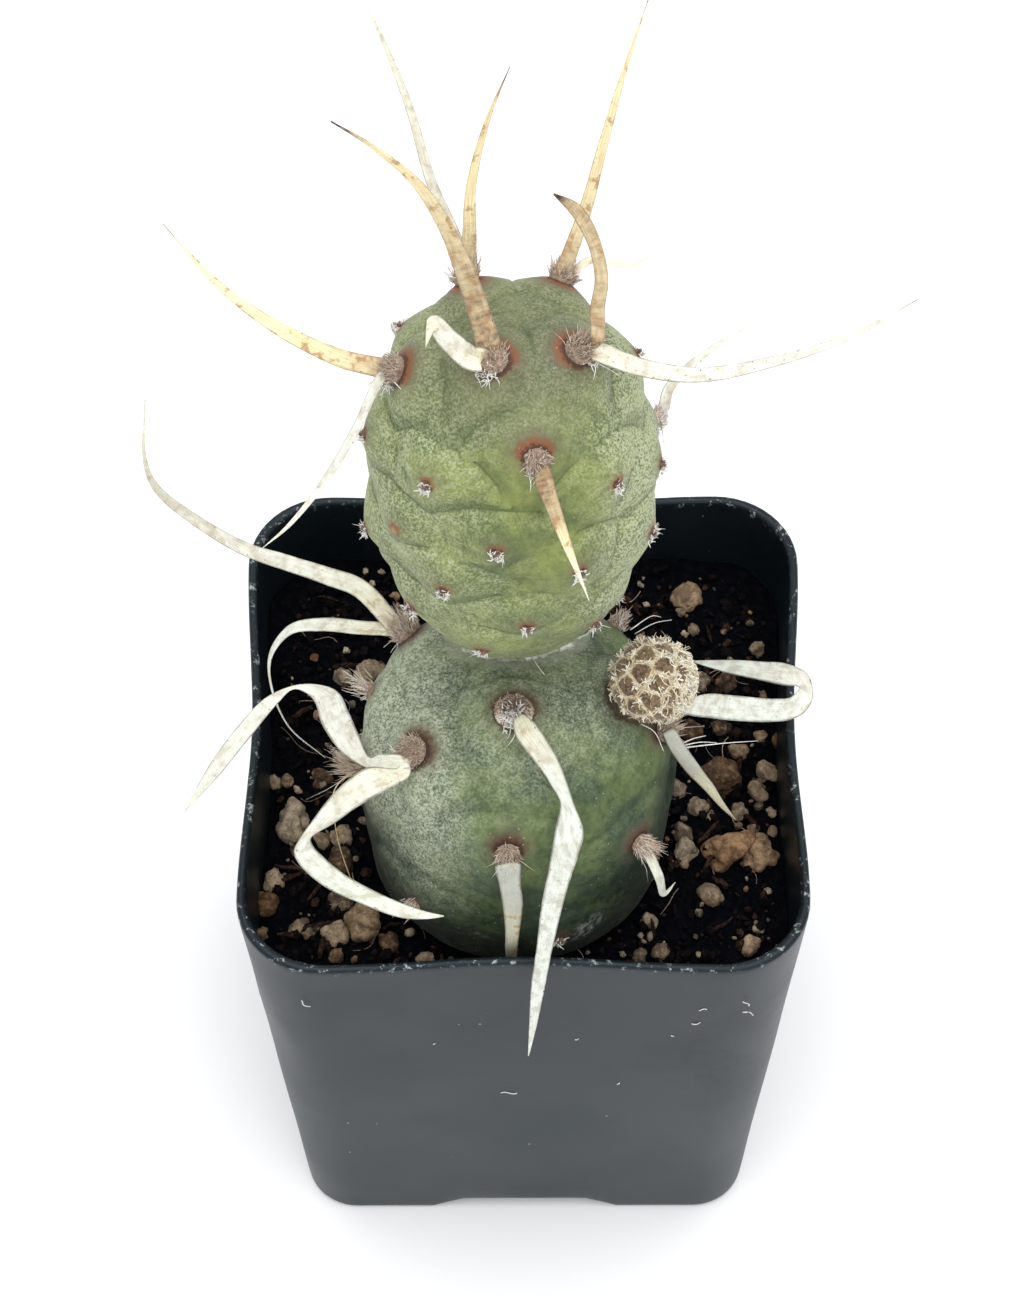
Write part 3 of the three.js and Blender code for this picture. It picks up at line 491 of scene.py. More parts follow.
def skin_look(name, dark, light, bloom, shade, rust, gloss, grainy):
    """Waxy skin: two greens in patches, grainy grey bloom and painted light, painted shade in folds, grooves
    and low down, brown crescents over the areoles.
    """
    look = Look(name, 0.62, Specular_IOR_Level=gloss, Sheen_Weight=0.2 * gloss, Sheen_Roughness=0.5)
    mottle = look.noise(0.9, 4, 0.65)
    grain = look.noise(0.25, 3, 0.75)
    fold = look.value("fold")
    folded = look.value("folded") * look.noise(2.2).band(0.34, 0.5, 0.35, 1)
    look.color = look.mix(look.noise(5, 3, 0.5).band(0.38, 0.62), dark, light)
    look.paint(mottle.band(0.6, 0.34, 0, 0.35), shade)
    # Painted light on the upper face of each tubercle, just under its fold, laid on as extra bloom.
    painted_lip_light = fold.near(-0.8, 0.9) * folded
    cover = grain.band(0.41, 0.6, grainy, 1.05) * mottle.band(0.36, 0.62, 0.55, 1)
    look.paint(cover * (look.value("bloom") + painted_lip_light * 0.3), bloom)
    look.paint(look.value("brown") * mottle.band(0.3, 0.65, 0.6, 1), (0.15, 0.13, 0.085))
    # Darker skin, and painted shade where the value is high low on the lower segment.
    look.paint(look.value("deep") * mottle.band(0.3, 0.65, 1, 0.8), shade)
    # Painted shade in the creases: a soft band beside each fold and along the grooves, and a thin dark line
    # on the fold.
    painted_fold_shade = fold.near(0.35, 0.7) * folded * 0.4 + look.value("groove") * 0.4
    line = fold.near(0.0, 0.2) * folded * 0.6
    look.paint(look.math("MAXIMUM", painted_fold_shade, line), shade)

    spread = look.value("spread") + look.noise(0.4, 4, 0.7).band(0.25, 0.75, -0.2, 0.2)
    above = look.value("ahead").band(-0.4, 0.6)
    strength = look.value("rust")
    tinge = spread.band(2.2, 0.3) * above.band(0, 1, 0.3, 0.8) * grain.band(0.35, 0.6, 0.35, 1)
    look.paint(tinge * strength, (0.12, 0.085, 0.065))
    past = spread - strength * above.band(0, 1, 0.0, 0.6)
    look.paint(past.band(0.5, -0.3) * strength.band(0, 0.4) * grain.band(0.3, 0.6, 0.55, 1), rust)
    look.paint(spread.near(-0.1, 0.4) * strength.band(0, 0.4, 0, 0.75), (0.035, 0.016, 0.012))

    seam = look.value("seam") + look.noise(1.1, 4, 0.65).band(0.3, 0.7, -0.35, 0.35)
    look.paint(seam.near(0.5, 1.3) * 0.45, bloom)
    look.paint(seam.near(0.0, 0.36) * look.noise(1.3).band(0.36, 0.5, 0.1, 0.9), (0.72, 0.72, 0.62))
    look.paint(look.value("scuff") * look.noise(0.8, 5, 0.7).band(0.42, 0.62, 0, 0.7), (0.5, 0.53, 0.5))
    look.paint(look.value("scar") * 0.85, (0.4, 0.25, 0.07))
    fleck = look.cells(0.55).band(0.13, 0.07) * look.noise(2.2, 2).band(0.46, 0.58)
    look.paint(fleck * 0.6, (0.56, 0.58, 0.45))
    return look.finish(mottle * 0.6 + grain * 0.35, 0.08, mottle.band(0.3, 0.7, 0.55, 0.7))


def spine_look(name):
    """Papery spine: off-white to tan and brown, with lengthwise lines, cross bands and specks."""
    look = Look(name, 0.65, Specular_IOR_Level=0.3, Subsurface_Weight=0.15, Subsurface_Scale=MM)
    along, side, warm, edge = (look.value(key) for key in ("along", "side", "warm", "edge"))

    def streaks(lengthwise, crosswise, detail=3, shift=0.0):
        """Noise on the ribbon's own face, so many humps a millimetre along it and across it."""
        return look.noise_on(look.vector(along * lengthwise, side * crosswise, shift), 1, detail, 0.6)

    lines = streaks(0.3, 8)
    bands = streaks(2.2, 0.4)
    blotch = streaks(0.8, 0.9, 4, 7)
    paper = look.mix(lines.band(0.3, 0.7), (0.66, 0.65, 0.57), (0.8, 0.79, 0.73))
    paper = look.mix(blotch.band(0.38, 0.66, 0, 0.65), paper, (0.42, 0.41, 0.34))
    straw = look.mix(lines.band(0.3, 0.7), (0.72, 0.58, 0.31), (0.92, 0.87, 0.57))
    brown = look.mix(bands.band(0.36, 0.62), (0.14, 0.09, 0.056), (0.35, 0.225, 0.12))
    dull = look.mix(blotch.band(0.35, 0.65), (0.3, 0.31, 0.26), (0.42, 0.43, 0.38))
    look.color = look.mix(warm.band(0.0, 0.5), paper, straw)
    look.paint(warm.band(0.38, 0.88) * blotch.band(0.36, 0.6, 0.7, 1), brown)
    # grey dulls the paper; on the hanging front and right ribbons it is also painted shade on their upright
    # faces.
    look.paint(look.value("grey"), dull)
    blot = blotch.band(0.54, 0.64) * warm.band(0.05, 0.4, 0.1, 0.8) * warm.band(0.95, 0.6, 0.2, 1)
    look.paint(blot, (0.36, 0.21, 0.09))
    look.paint(edge.band(0.78, 0.98) * streaks(0.7, 0.2, 3, 3).band(0.42, 0.6, 0.15, 0.8), (0.3, 0.26, 0.19))
    speck = streaks(3, 4, 2, 5).band(0.66, 0.7) * edge.band(0.2, 0.9, 0.35, 1) * look.value("speckle")
    look.paint(speck, (0.06, 0.045, 0.03))
    look.paint(look.value("tip") * blotch.band(0.3, 0.6, 0.7, 1.2), (0.035, 0.024, 0.018))
    return look.finish(lines, 0.018)


def felt_look(name, low_brown, high_brown, low_straw, high_straw, white):
    """Felt, wool and bristles: "tint" runs from brown over straw to white."""
    look = Look(name, 0.85, Specular_IOR_Level=0.2, Sheen_Weight=0.25)
    tint = look.value("tint")
    grain = look.noise(0.3, 4, 0.7).band(0.35, 0.65)
    brown = look.mix(grain, low_brown, high_brown)
    straw = look.mix(grain, low_straw, high_straw)
    look.color = look.mix(tint.band(0, 0.5), brown, straw)
    look.paint(tint.band(0.5, 1), look.mix(grain, [0.78 * part for part in white], white))
    return look.finish(look.noise(0.12), 0.05)


LOOKS = {
    "pot_plastic": pot_look(),
    "soil": soil_look(),
    "crumbs": crumb_look(),
    "pumice": grain_look(),
    "skin_young": skin_look(
        "young_skin", dark=(0.115, 0.15, 0.04), light=(0.2, 0.235, 0.058), bloom=(0.39, 0.425, 0.27),
        shade=(0.035, 0.06, 0.018), rust=(0.2, 0.066, 0.027), gloss=0.3, grainy=0.0,
    ),
    "skin_old": skin_look(
        "old_skin", dark=(0.06, 0.095, 0.044), light=(0.13, 0.175, 0.06), bloom=(0.43, 0.46, 0.35),
        shade=(0.006, 0.014, 0.009), rust=(0.085, 0.043, 0.027), gloss=0.16, grainy=0.2,
    ),
    PAPER: spine_look("paper_spine"),
    TAN: spine_look("tan_spine"),
    "felt": felt_look(
        "areole_felt", (0.05, 0.029, 0.019), (0.21, 0.13, 0.09),
        (0.43, 0.31, 0.22), (0.72, 0.59, 0.45), (0.9, 0.9, 0.86),
    ),
    "bud_wool": felt_look(
        "bud_scale_and_wool", (0.032, 0.021, 0.012), (0.18, 0.105, 0.058),
        (0.5, 0.37, 0.2), (0.9, 0.77, 0.5), (1.0, 0.96, 0.82),
    ),
}


# Pot


def notch_height(offset):
    """Height of the pot's lower edge at a distance along a side from its middle."""
    return np.interp(abs(offset), [NOTCH_TOP, NOTCH_KNEE, NOTCH_FOOT], [PLATE_LOW, 0.5, 0])


def half_width(height):
    return (FOOT_WIDTH + (RIM_WIDTH - FOOT_WIDTH) * height / POT_HEIGHT) / 2


def pot_ring(height, inset):
    """One level of the pot: a square with round corners, its sides bowed inward."""
    rise = height / POT_HEIGHT
    half = half_width(height) - inset
    corner = max(0.3, FOOT_CORNER + (RIM_CORNER - FOOT_CORNER) * rise - inset / 2)
    flat = half - corner
    side_steps, arc_steps = 44, 12
    share = np.arange(side_steps) / side_steps * 2 - 1
    arc = np.arange(arc_steps) / arc_steps * 90 * DEG
    bow = SIDE_BOW * rise * (1 + np.cos(np.pi * share)) / 2
    x = np.concatenate([half - bow, flat + corner * np.cos(arc)])
    y = np.concatenate([share * flat, flat + corner * np.sin(arc)])
    ring = []
    for cos, sin in ((1, 0), (0, 1), (-1, 0), (0, -1)):
        ring.append(np.stack([x * cos - y * sin, x * sin + y * cos, np.full(len(x), height)], -1))
    return np.concatenate(ring)


def make_pot():
    edge = WALL / 2
    top = POT_HEIGHT - edge
    inside = [(PLATE_HIGH, WALL + 9), (PLATE_HIGH, WALL + 1.2), (PLATE_HIGH + 0.3, WALL + 0.4)]
    inside += [(PLATE_HIGH + 1, WALL), *((height, WALL) for height in np.linspace(8, top - 0.6, 22))]
    for turn in np.linspace(0, 180, 9) * DEG:
        inside.append((top + edge * math.sin(turn), edge + edge * math.cos(turn)))
    outside = [(height, 0) for height in np.linspace(top - 0.6, 3, 30)]
    outside += [(2, 0), (1.2, 0), (0.7, 0.02), (0.35, 0.12), (0.1, 0.32), (0, 0.6), (0, SKIRT - 0.2)]
    outside += [(0.15, SKIRT), (1, SKIRT), (PLATE_LOW, SKIRT), (PLATE_LOW, SKIRT + 6)]
    rings = [pot_ring(*level) for level in inside]
    for height, inset in outside:
        ring = pot_ring(height, inset)
        if height < 3:
            offset = np.where(np.abs(ring[:, 0]) > np.abs(ring[:, 1]), ring[:, 1], ring[:, 0])
            lift = notch_height(offset)
            ring[:, 2] = np.maximum(lift + height / 3 * (3 - lift), min(height, PLATE_LOW))
            if inset >= SKIRT:
                ring[:, 2] = np.minimum(ring[:, 2], PLATE_LOW)
        rings.append(ring)
    rings = np.array(rings)
    wobble = noise_at(rings, 16, 3) * 0.12
    rings[..., :2] *= 1 - (np.abs(wobble) * smoothstep(2, 12, rings[..., 2]) / 27)[..., None]
    points, blocks = lofted(rings, (0, 0, PLATE_HIGH), (0, 0, PLATE_LOW))
    x, y, heights = points.T
    rim = smoothstep(POT_HEIGHT - 1.1, POT_HEIGHT - 0.25, heights)
    smudge = (y < 0) * smoothstep(26, 34, heights) * smoothstep(10, 18, x)
    shape = Shape()
    # The pot pales toward its foot: a painted reflection of the floor.
    shape.add(points, blocks, rim=rim, smudge=smudge, film=smoothstep(50, 12, heights))
    pot = shape.build("pot_shell", "pot_plastic")
    cut_drains(pot)
    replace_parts(pot, "pot")


def cut_drains(pot):
    """The drain holes in the pot's plate, cut by one boolean and applied."""
    cutter = bpy.data.meshes.new("drain_cutter")
    rods = bmesh.new()
    for x, y in ((0, 0), (1, 1), (1, -1), (-1, 1), (-1, -1)):
        place = Matrix.Translation((x * DRAIN_OFFSET * MM, y * DRAIN_OFFSET * MM, PLATE_LOW * MM))
        radius = DRAIN_RADIUS * MM
        bmesh.ops.create_cone(
            rods, cap_ends=True, segments=32, radius1=radius, radius2=radius, depth=6 * MM, matrix=place,
        )
    rods.to_mesh(cutter)
    rods.free()
    tool = bpy.data.objects.new("drain_cutter", cutter)
    bpy.context.scene.collection.objects.link(tool)
    cut = pot.modifiers.new("drains", "BOOLEAN")
    cut.object = tool
    cut.operation = "DIFFERENCE"
    cut.solver = "EXACT"
    ready = pot.evaluated_get(bpy.context.evaluated_depsgraph_get())
    mesh = bpy.data.meshes.new_from_object(ready)
    pot.modifiers.clear()
    pot.data = mesh
    bpy.data.objects.remove(tool)


# Segments


class Segment:
    """A turned body in a leaning frame of its own, with low tubercles at its areoles: "relief" high and
    "reach" wide, and none below the height "calm"."""

    def __init__(self, middle, lean, profile, relief, reach, calm, areoles):
        self.middle = np.array(middle)
        self.lean = lean * DEG
        self.profile = profile
        self.relief = relief
        self.reach = reach
        self.calm = calm
        self.areoles = areoles
        self.rises = np.linspace(0, 1, 801)
        self.samples = spline(profile, self.rises)
        turns, heights = np.array(areoles).T
        rises = np.interp(heights, self.samples[:, 1], self.rises)
        self.places, self.normals = self.smooth(turns, rises)
        self.uphill = unit(self.smooth(turns, rises + 0.004)[0] - self.smooth(turns, rises - 0.004)[0])
        self.felt = np.full(len(areoles), 0.42)
        self.rust = np.full(len(areoles), 0.55)

    def smooth(self, angle, rise):
        """Places and outward directions on the body without its tubercles."""
        cos, sin = np.cos(angle * DEG), np.sin(angle * DEG)
        radius, height = np.moveaxis(spline(self.profile, rise), -1, 0)
        inner = np.clip(rise, 0.01, 0.99)
        slope = spline(self.profile, inner + 1e-4) - spline(self.profile, inner - 1e-4)
        radius = np.maximum(radius, 0)
        place = np.stack([radius * cos, radius * sin, height], -1)
        out = unit(np.stack([slope[..., 1] * cos, slope[..., 1] * sin, -slope[..., 0]], -1))
        return place, out

    def turned(self, vectors, lean=1):
        """Vectors of the leaning frame, in the plant's frame, or the other way with a lean of -1."""
        x, y, z = np.moveaxis(np.asarray(vectors, float), -1, 0)
        cos, sin = math.cos(self.lean), lean * math.sin(self.lean)
        return np.stack([x, y * cos + z * sin, z * cos - y * sin], -1)

    def placed(self, points):
        return self.turned(points) + self.middle

    def local(self, points):
        return self.turned(points - self.middle, -1)

    def downhill(self, index):
        return -self.turned(self.uphill[index])

    def seat(self, index):
        """Place and outward direction of an areole on its tubercle, in the plant's frame."""
        place, out = self.places[index], self.normals[index]
        calm = smoothstep(self.calm, self.calm + 4, place[2])
        return self.placed(place + out * self.relief * 0.5 * calm), self.turned(out)

    def skin(self, angle, rise):
        """Points of the skin, and what its look needs to know of each."""
        place, out = self.smooth(angle, rise)
        offset = place[:, None] - self.places[None]
        distance = np.linalg.norm(offset, axis=-1)
        nearest, next_one = np.argsort(distance, axis=1)[:, :2].T
        rank = np.arange(len(place))
        near, second = distance[rank, nearest], distance[rank, next_one]
        calm = smoothstep(self.calm, self.calm + 4, place[:, 2])
        lumps = noise_at(place, 5, 1)
        between = self.places[nearest] - self.places[next_one]
        level = 1 - smoothstep(0.3, 0.6, np.abs(between[:, 2]) / np.linalg.norm(between, axis=1))
        groove = np.exp(-((second - near) / 0.4) ** 2) * level * smoothstep(-0.2, 0.2, lumps)
        above = (offset * self.uphill[None]).sum(-1)
        aside = np.sqrt(np.maximum(distance ** 2 - above ** 2, 0))
        arch = np.where(above > -0.3, np.hypot(above, FOLD_FLATNESS * aside), 99)
        own = np.argmin(arch, axis=1)
        past = arch[rank, own] - FOLD_REACH - 0.45 * lumps
        taper = smoothstep(0.2, 1.8, above[rank, own]) * smoothstep(-0.55, -0.2, noise_at(place, 7, 9))
        line = np.exp(-(past / 0.2) ** 2) * taper
        fold = np.exp(-((past - 0.25) / 0.7) ** 2) * taper
        share = np.minimum(1, near / self.reach)
        height = self.relief * (0.5 - np.sqrt(share ** 2 + 0.012)) * calm
        height += 0.12 * lumps + 0.03 * noise_at(place, 1.4, 2)
        height -= (0.14 * groove + 0.1 * line + 0.2 * fold) * calm
        # fold, folded and groove also lay painted shade along the creases in the skin's look.
        values = dict(
            fold=np.clip(past, -2, 2), folded=taper * calm, groove=groove * calm, rust=self.rust[nearest],
            spread=near - self.felt[nearest], ahead=above[rank, nearest] / np.maximum(near, 0.05),
        )
        return self.placed(place + out * height[:, None]), values


def skin_surface(segment, rows, sides):
    """A segment's fine surface, and what its look needs to know at each point."""
    rise = np.repeat(np.arange(1, rows) / rows, sides)
    angle = np.tile(np.arange(sides) * 360 / sides, rows - 1)
    angle = np.concatenate([[0.0], angle, [0.0]])
    rise = np.concatenate([[0.0], rise, [1.0]])
    points, values = segment.skin(angle, rise)
    rings = points[1:-1].reshape(rows - 1, sides, 3)
    points, blocks = lofted(rings, points[0], points[-1])
    return points, blocks, values


def spot(points, centre, radius):
    """1 at a place, falling to 0 at a distance from it."""
    return 1 - smoothstep(0.3 * radius, radius, np.linalg.norm(points - np.array(centre), axis=1))


SPIRAL = []
for step in range(UPPER_AREOLES):
    turn, lift = UPPER_SHIFTS.get(step, (0, 0))
    height = 19.2 - 1.16 * step + 0.0075 * step * step
    SPIRAL.append((UPPER_FIRST_ANGLE - GOLDEN_ANGLE * step + turn, height + lift))
UPPER = Segment(
    middle=(-0.9, 2.2, 96.8), lean=7, profile=UPPER_PROFILE, relief=1.5, reach=5.5, calm=-15, areoles=SPIRAL,
)
LOWER = Segment(
    middle=(-0.6, -7.7, 58.3), lean=3, profile=LOWER_PROFILE, relief=1.3, reach=7.5, calm=-8,
    areoles=list(LOWER_AREOLES.values()),
)


def make_upper():
    points, blocks, values = skin_surface(UPPER, 200, 310)
    x, y, z = points.T
    middle = np.exp(-((x - 1.5) / 8) ** 2) * smoothstep(2, -6, y) * (0.54 + 0.3 * smoothstep(94, 101, z))
    crown = smoothstep(109, 117, z)
    foot = smoothstep(83, 79, z)
    # Waxy bloom, thin on the front middle; the paler sides and right side are also painted light.
    bloom = 0.95 - middle * (1 - crown) + 0.3 * foot + 1.1 * smoothstep(5, 11, x)
    scar = spot(points, UPPER.seat(BARE_AREOLE)[0], 0.75)
    values["folded"] *= 1 - 0.5 * crown
    shape = Shape()
    shape.add(
        points, blocks, bloom=bloom, brown=0.6 * crown, deep=0.35 * crown, scar=scar, scuff=0.5 * foot,
        seam=SEAM_END, **values,
    )
    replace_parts(shape.build("upper_skin", "skin_young"), "upper_segment")


def past_seam(x, y):
    """Distance of places outward from the seam's line, large where the seam has ended."""
    way = np.array(SEAM) - SEAM_MIDDLE
    turns = np.unwrap(np.arctan2(way[:, 1], way[:, 0]))
    turn = np.arctan2(y - SEAM_MIDDLE[1], x - SEAM_MIDDLE[0])
    turn = np.where(turn > np.pi / 2, turn - 2 * np.pi, turn)
    seam = np.hypot(x - SEAM_MIDDLE[0], y - SEAM_MIDDLE[1]) - np.interp(turn, turns, np.hypot(*way.T))
    fade = smoothstep(turns[0] + 0.1, turns[0] + 0.6, turn) * smoothstep(turns[-1], turns[-1] - 0.5, turn)
    return np.clip(seam / np.maximum(fade, 0.02), -SEAM_END, SEAM_END)


def make_lower():
    points, blocks, values = skin_surface(LOWER, 150, 260)
    x, y, z = points.T
    side = np.maximum(smoothstep(-1, -10, x), 0.6 * smoothstep(71, 76, z))
    # Painted shade: darker toward the soil and on the lower right, where the pot and the upper segment shade
    # the skin, with thinner bloom there.
    low = smoothstep(70, 56, z)
    right = smoothstep(3, 13, x) * smoothstep(78, 62, z)
    bloom = (0.06 + 1.3 * side ** 1.5) * (1 - 0.7 * low)
    deep = np.clip(0.1 + 0.85 * low + 0.55 * right, 0, 0.98)
    scuff = np.clip(spot(points, (7.0, -22.6, 56.2), 3.2) + spot(points, (-4.3, -22.8, 55.6), 1.6), 0, 1)
    values["groove"] *= 0.3
    values["folded"] *= 0.4
    shape = Shape()
    shape.add(
        points, blocks, seam=past_seam(x, y), bloom=bloom, brown=0, deep=deep, scar=0, scuff=scuff, **values,
    )
    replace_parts(shape.build("lower_skin", "skin_old"), "lower_segment")


# Areoles


def felt_dome(shape, base, up, radius, tint, seed):
    """A low cushion of felt with an uneven surface."""
    share, height = np.array([
        (0.8, -0.8), (0.97, -0.3), (1.0, 0.0), (0.95, 0.22), (0.8, 0.4), (0.55, 0.54), (0.25, 0.62),
    ]).T[..., None, None]
    rings = base + circle(20, up) * share * radius + up * height
    rings += 0.14 * noise_at(rings + seed, 0.7)[..., None] * up
    shape.add(*lofted(rings, base - 0.8 * up, base + 0.63 * up), tint=tint)


def fibre_bed(shape, base, up, radius, count, length, random, tint, lean=(0, 0, 0), spread=0.9, thick=0.045):
    """Short fibres that stand on a felt cushion, leaning outward and along "lean"."""
    reach = radius * np.sqrt(random.random(count))[:, None]
    flat = around(any_turn(random, count), up)
    roots = base + flat * reach + up * (0.55 * (1 - (reach / radius) ** 2) - 0.1)
    ways = up + flat * (spread * reach / radius) + 0.35 * random.normal(size=(count, 3)) + np.asarray(lean)
    lengths = length * random.uniform(0.5, 1.2, count)
    paths = curls(roots, unit(ways), lengths, 0.12, random, 4)
    shape.add_strands(paths, FIBRE_TAPER * thick, tint=random.uniform(*tint, count))


def wool(shape, base, up, count, length, random, radius, tint, thick, curl):
    """Curly wisps of white wool."""
    flat = around(any_turn(random, count), up)
    reach = radius * np.sqrt(random.random(count))[:, None]
    roots = base + flat * reach - 0.05 * up
    ways = unit(0.7 * up + 0.9 * flat + 0.5 * random.normal(size=(count, 3)))
    paths = curls(roots, ways, length * random.uniform(0.5, 1.3, count), curl, random, 6)
    shape.add_strands(paths, WOOL_TAPER * thick, tint=random.uniform(*tint, count))


def add_bristles(shape, routes, root, tip):
    """Long pale bristles, as thick at their roots and tips as given."""
    for route in routes:
        line = route_curve(route, 4)
        shape.add_strands(line[None], np.linspace(root, tip, len(line))[None], 4, tint=0.95)


def make_small_areoles(segment, spined, brushes, bristles, name):
    """Areoles without ribbons: a little felt with curly white wool, and here and there a bristle."""
    random = random_of("areoles")
    shape = Shape()
    for index in range(len(segment.areoles)):
        base, up = segment.seat(index)
        buried = base[2] < SOIL_LEVEL + 0.5 or segment.places[index][2] < segment.calm - 2
        if index in spined or buried:
            continue
        felt_dome(shape, base - 0.45 * up, up, 0.42, 0.03, index)
        fibre_bed(shape, base - 0.4 * up, up, 0.45, 26, 0.4, random, (0.0, 0.35))
        tuft = base + 0.25 * segment.downhill(index) - 0.1 * up
        wool(shape, tuft, up, 46, 0.22, random, 0.5, (0.85, 1), 0.075, 1.1)
        few = random.integers(0, 3)
        fibre_bed(shape, base - 0.3 * up, up, 0.3, few, 1.3, random, (0.7, 0.95), thick=0.04)
        if index in brushes:
            way, length = brushes[index]
            felt_dome(shape, base - 0.2 * up, up, 0.75, 0.15, index)
            count = 80
            ways = unit(unit(np.array(way)) + 0.22 * random.normal(size=(count, 3)))
            roots = base + 0.35 * random.normal(size=(count, 3))
            paths = curls(roots, ways, length * random.uniform(0.4, 1.1, count), 0.1, random, 5)
            tints = random.uniform(0.3, 0.9, count)
            shape.add_strands(paths, BRUSH_TAPER * 0.06, tint=tints)
    add_bristles(shape, bristles, 0.06, 0.025)
    shape.build(name, "felt")


# Ribbon spines


def routed(feet, route, width, taper, face, seed):
    """Middle line, sideways direction and half width of a ribbon along a route, turned to face "face"."""
    line = route_curve([*feet, *route], RIBBON_STEPS)
    share = np.linspace(0, 1, len(line))
    facing = np.array(face[0]) * (1 - share)[:, None] + np.array(face[-1]) * share[:, None]
    across = unit(np.cross(np.gradient(line, axis=0), facing))
    waist = RIBBON_WAIST + (1 - RIBBON_WAIST) * smoothstep(0.03, 0.2, share)
    half = width * (1 - share ** taper) / 2 * waist
    return line, across, half * (1 + 0.05 * drift([(9 * s + seed, 3.1 * seed, 0) for s in share]))


def edged(feet, edges):
    """The same of a ribbon between two edges, listed as pairs of points from the areole to the tip."""
    pairs = np.array(edges, float).reshape(-1, 2, 3)
    to_side = unit(pairs[0, 1] - pairs[0, 0]) * RIBBON_FOOT_WIDTH / 2
    pairs = np.concatenate([[[foot - to_side, foot + to_side] for foot in feet], pairs])
    left, right = (route_curve(pairs[:, side], RIBBON_STEPS) for side in (0, 1))
    return (left + right) / 2, unit(right - left), np.linalg.norm(right - left, axis=1) / 2


def ribbon(shape, feet, seed, route=None, edges=None, width=1.5, taper=3, face=(NORMAL_FACE,), thick=0.13,
           warm=(0, 0, 0), grey=(0, 0, 0), tip=0.0, cup=0.16, speckle=1.0):
    """A thin papery ribbon, by a route that it faces from or by its two edges.
    "warm" is its colour at the root, the middle and the tip, from white over straw to brown."""
    if edges is None:
        line, across, half = routed(feet, route, width, taper, face, seed)
    else:
        line, across, half = edged(feet, edges)
    count = len(line)
    share = np.linspace(0, 1, count)
    front = -np.cross(unit(np.gradient(line, axis=0)), across)
    half = np.maximum(half, 0.035)[:, None]
    side = np.linspace(-1, 1, 9)
    body = np.maximum(thick * (1 - 0.6 * share), 0.06)[:, None] / 2
    swing = drift([(7 * s + seed, 9.7, seed) for s in share])[:, None]
    bend = cup * half * (side ** 2 - 0.4) * (1 + 0.6 * swing)
    wave = RIBBON_RIPPLE * np.sin(14 * share[:, None] + 2 * side + seed) * np.minimum(1, half)
    swell = body * (0.35 + 0.65 * np.sqrt(np.clip(1 - side ** 2, 0, 1)))
    swell[:, [0, -1]] = 0
    back = slice(-2, 0, -1)
    rise = np.concatenate([bend + wave + swell, (bend + wave - swell)[:, back]], axis=1)
    ring_side = np.concatenate([side, side[back]])
    rings = line[:, None] + across[:, None] * (half * ring_side)[..., None]
    rings += front[:, None] * rise[..., None]
    points, blocks = lofted(rings, line[0], line[-1])
    lengths = np.concatenate([[0], np.cumsum(np.linalg.norm(np.diff(line, axis=0), axis=1))])

    def spread(values):
        return np.concatenate([[values[0]], np.repeat(values, len(ring_side)), [values[-1]]])

    shape.add(
        points, [block[:, ::-1] for block in blocks], along=spread(lengths) + 40 * seed,
        side=np.concatenate([[0], (half * ring_side).ravel(), [0]]),
        edge=np.concatenate([[0], np.tile(np.abs(ring_side), count), [1]]),
        warm=spread(np.interp(share, [0, 0.5, 1], warm)), grey=spread(np.interp(share, [0, 0.5, 1], grey)),
        tip=spread(smoothstep(1 - tip, 1, share) if tip > 0 else 0 * share), speckle=speckle,
    )


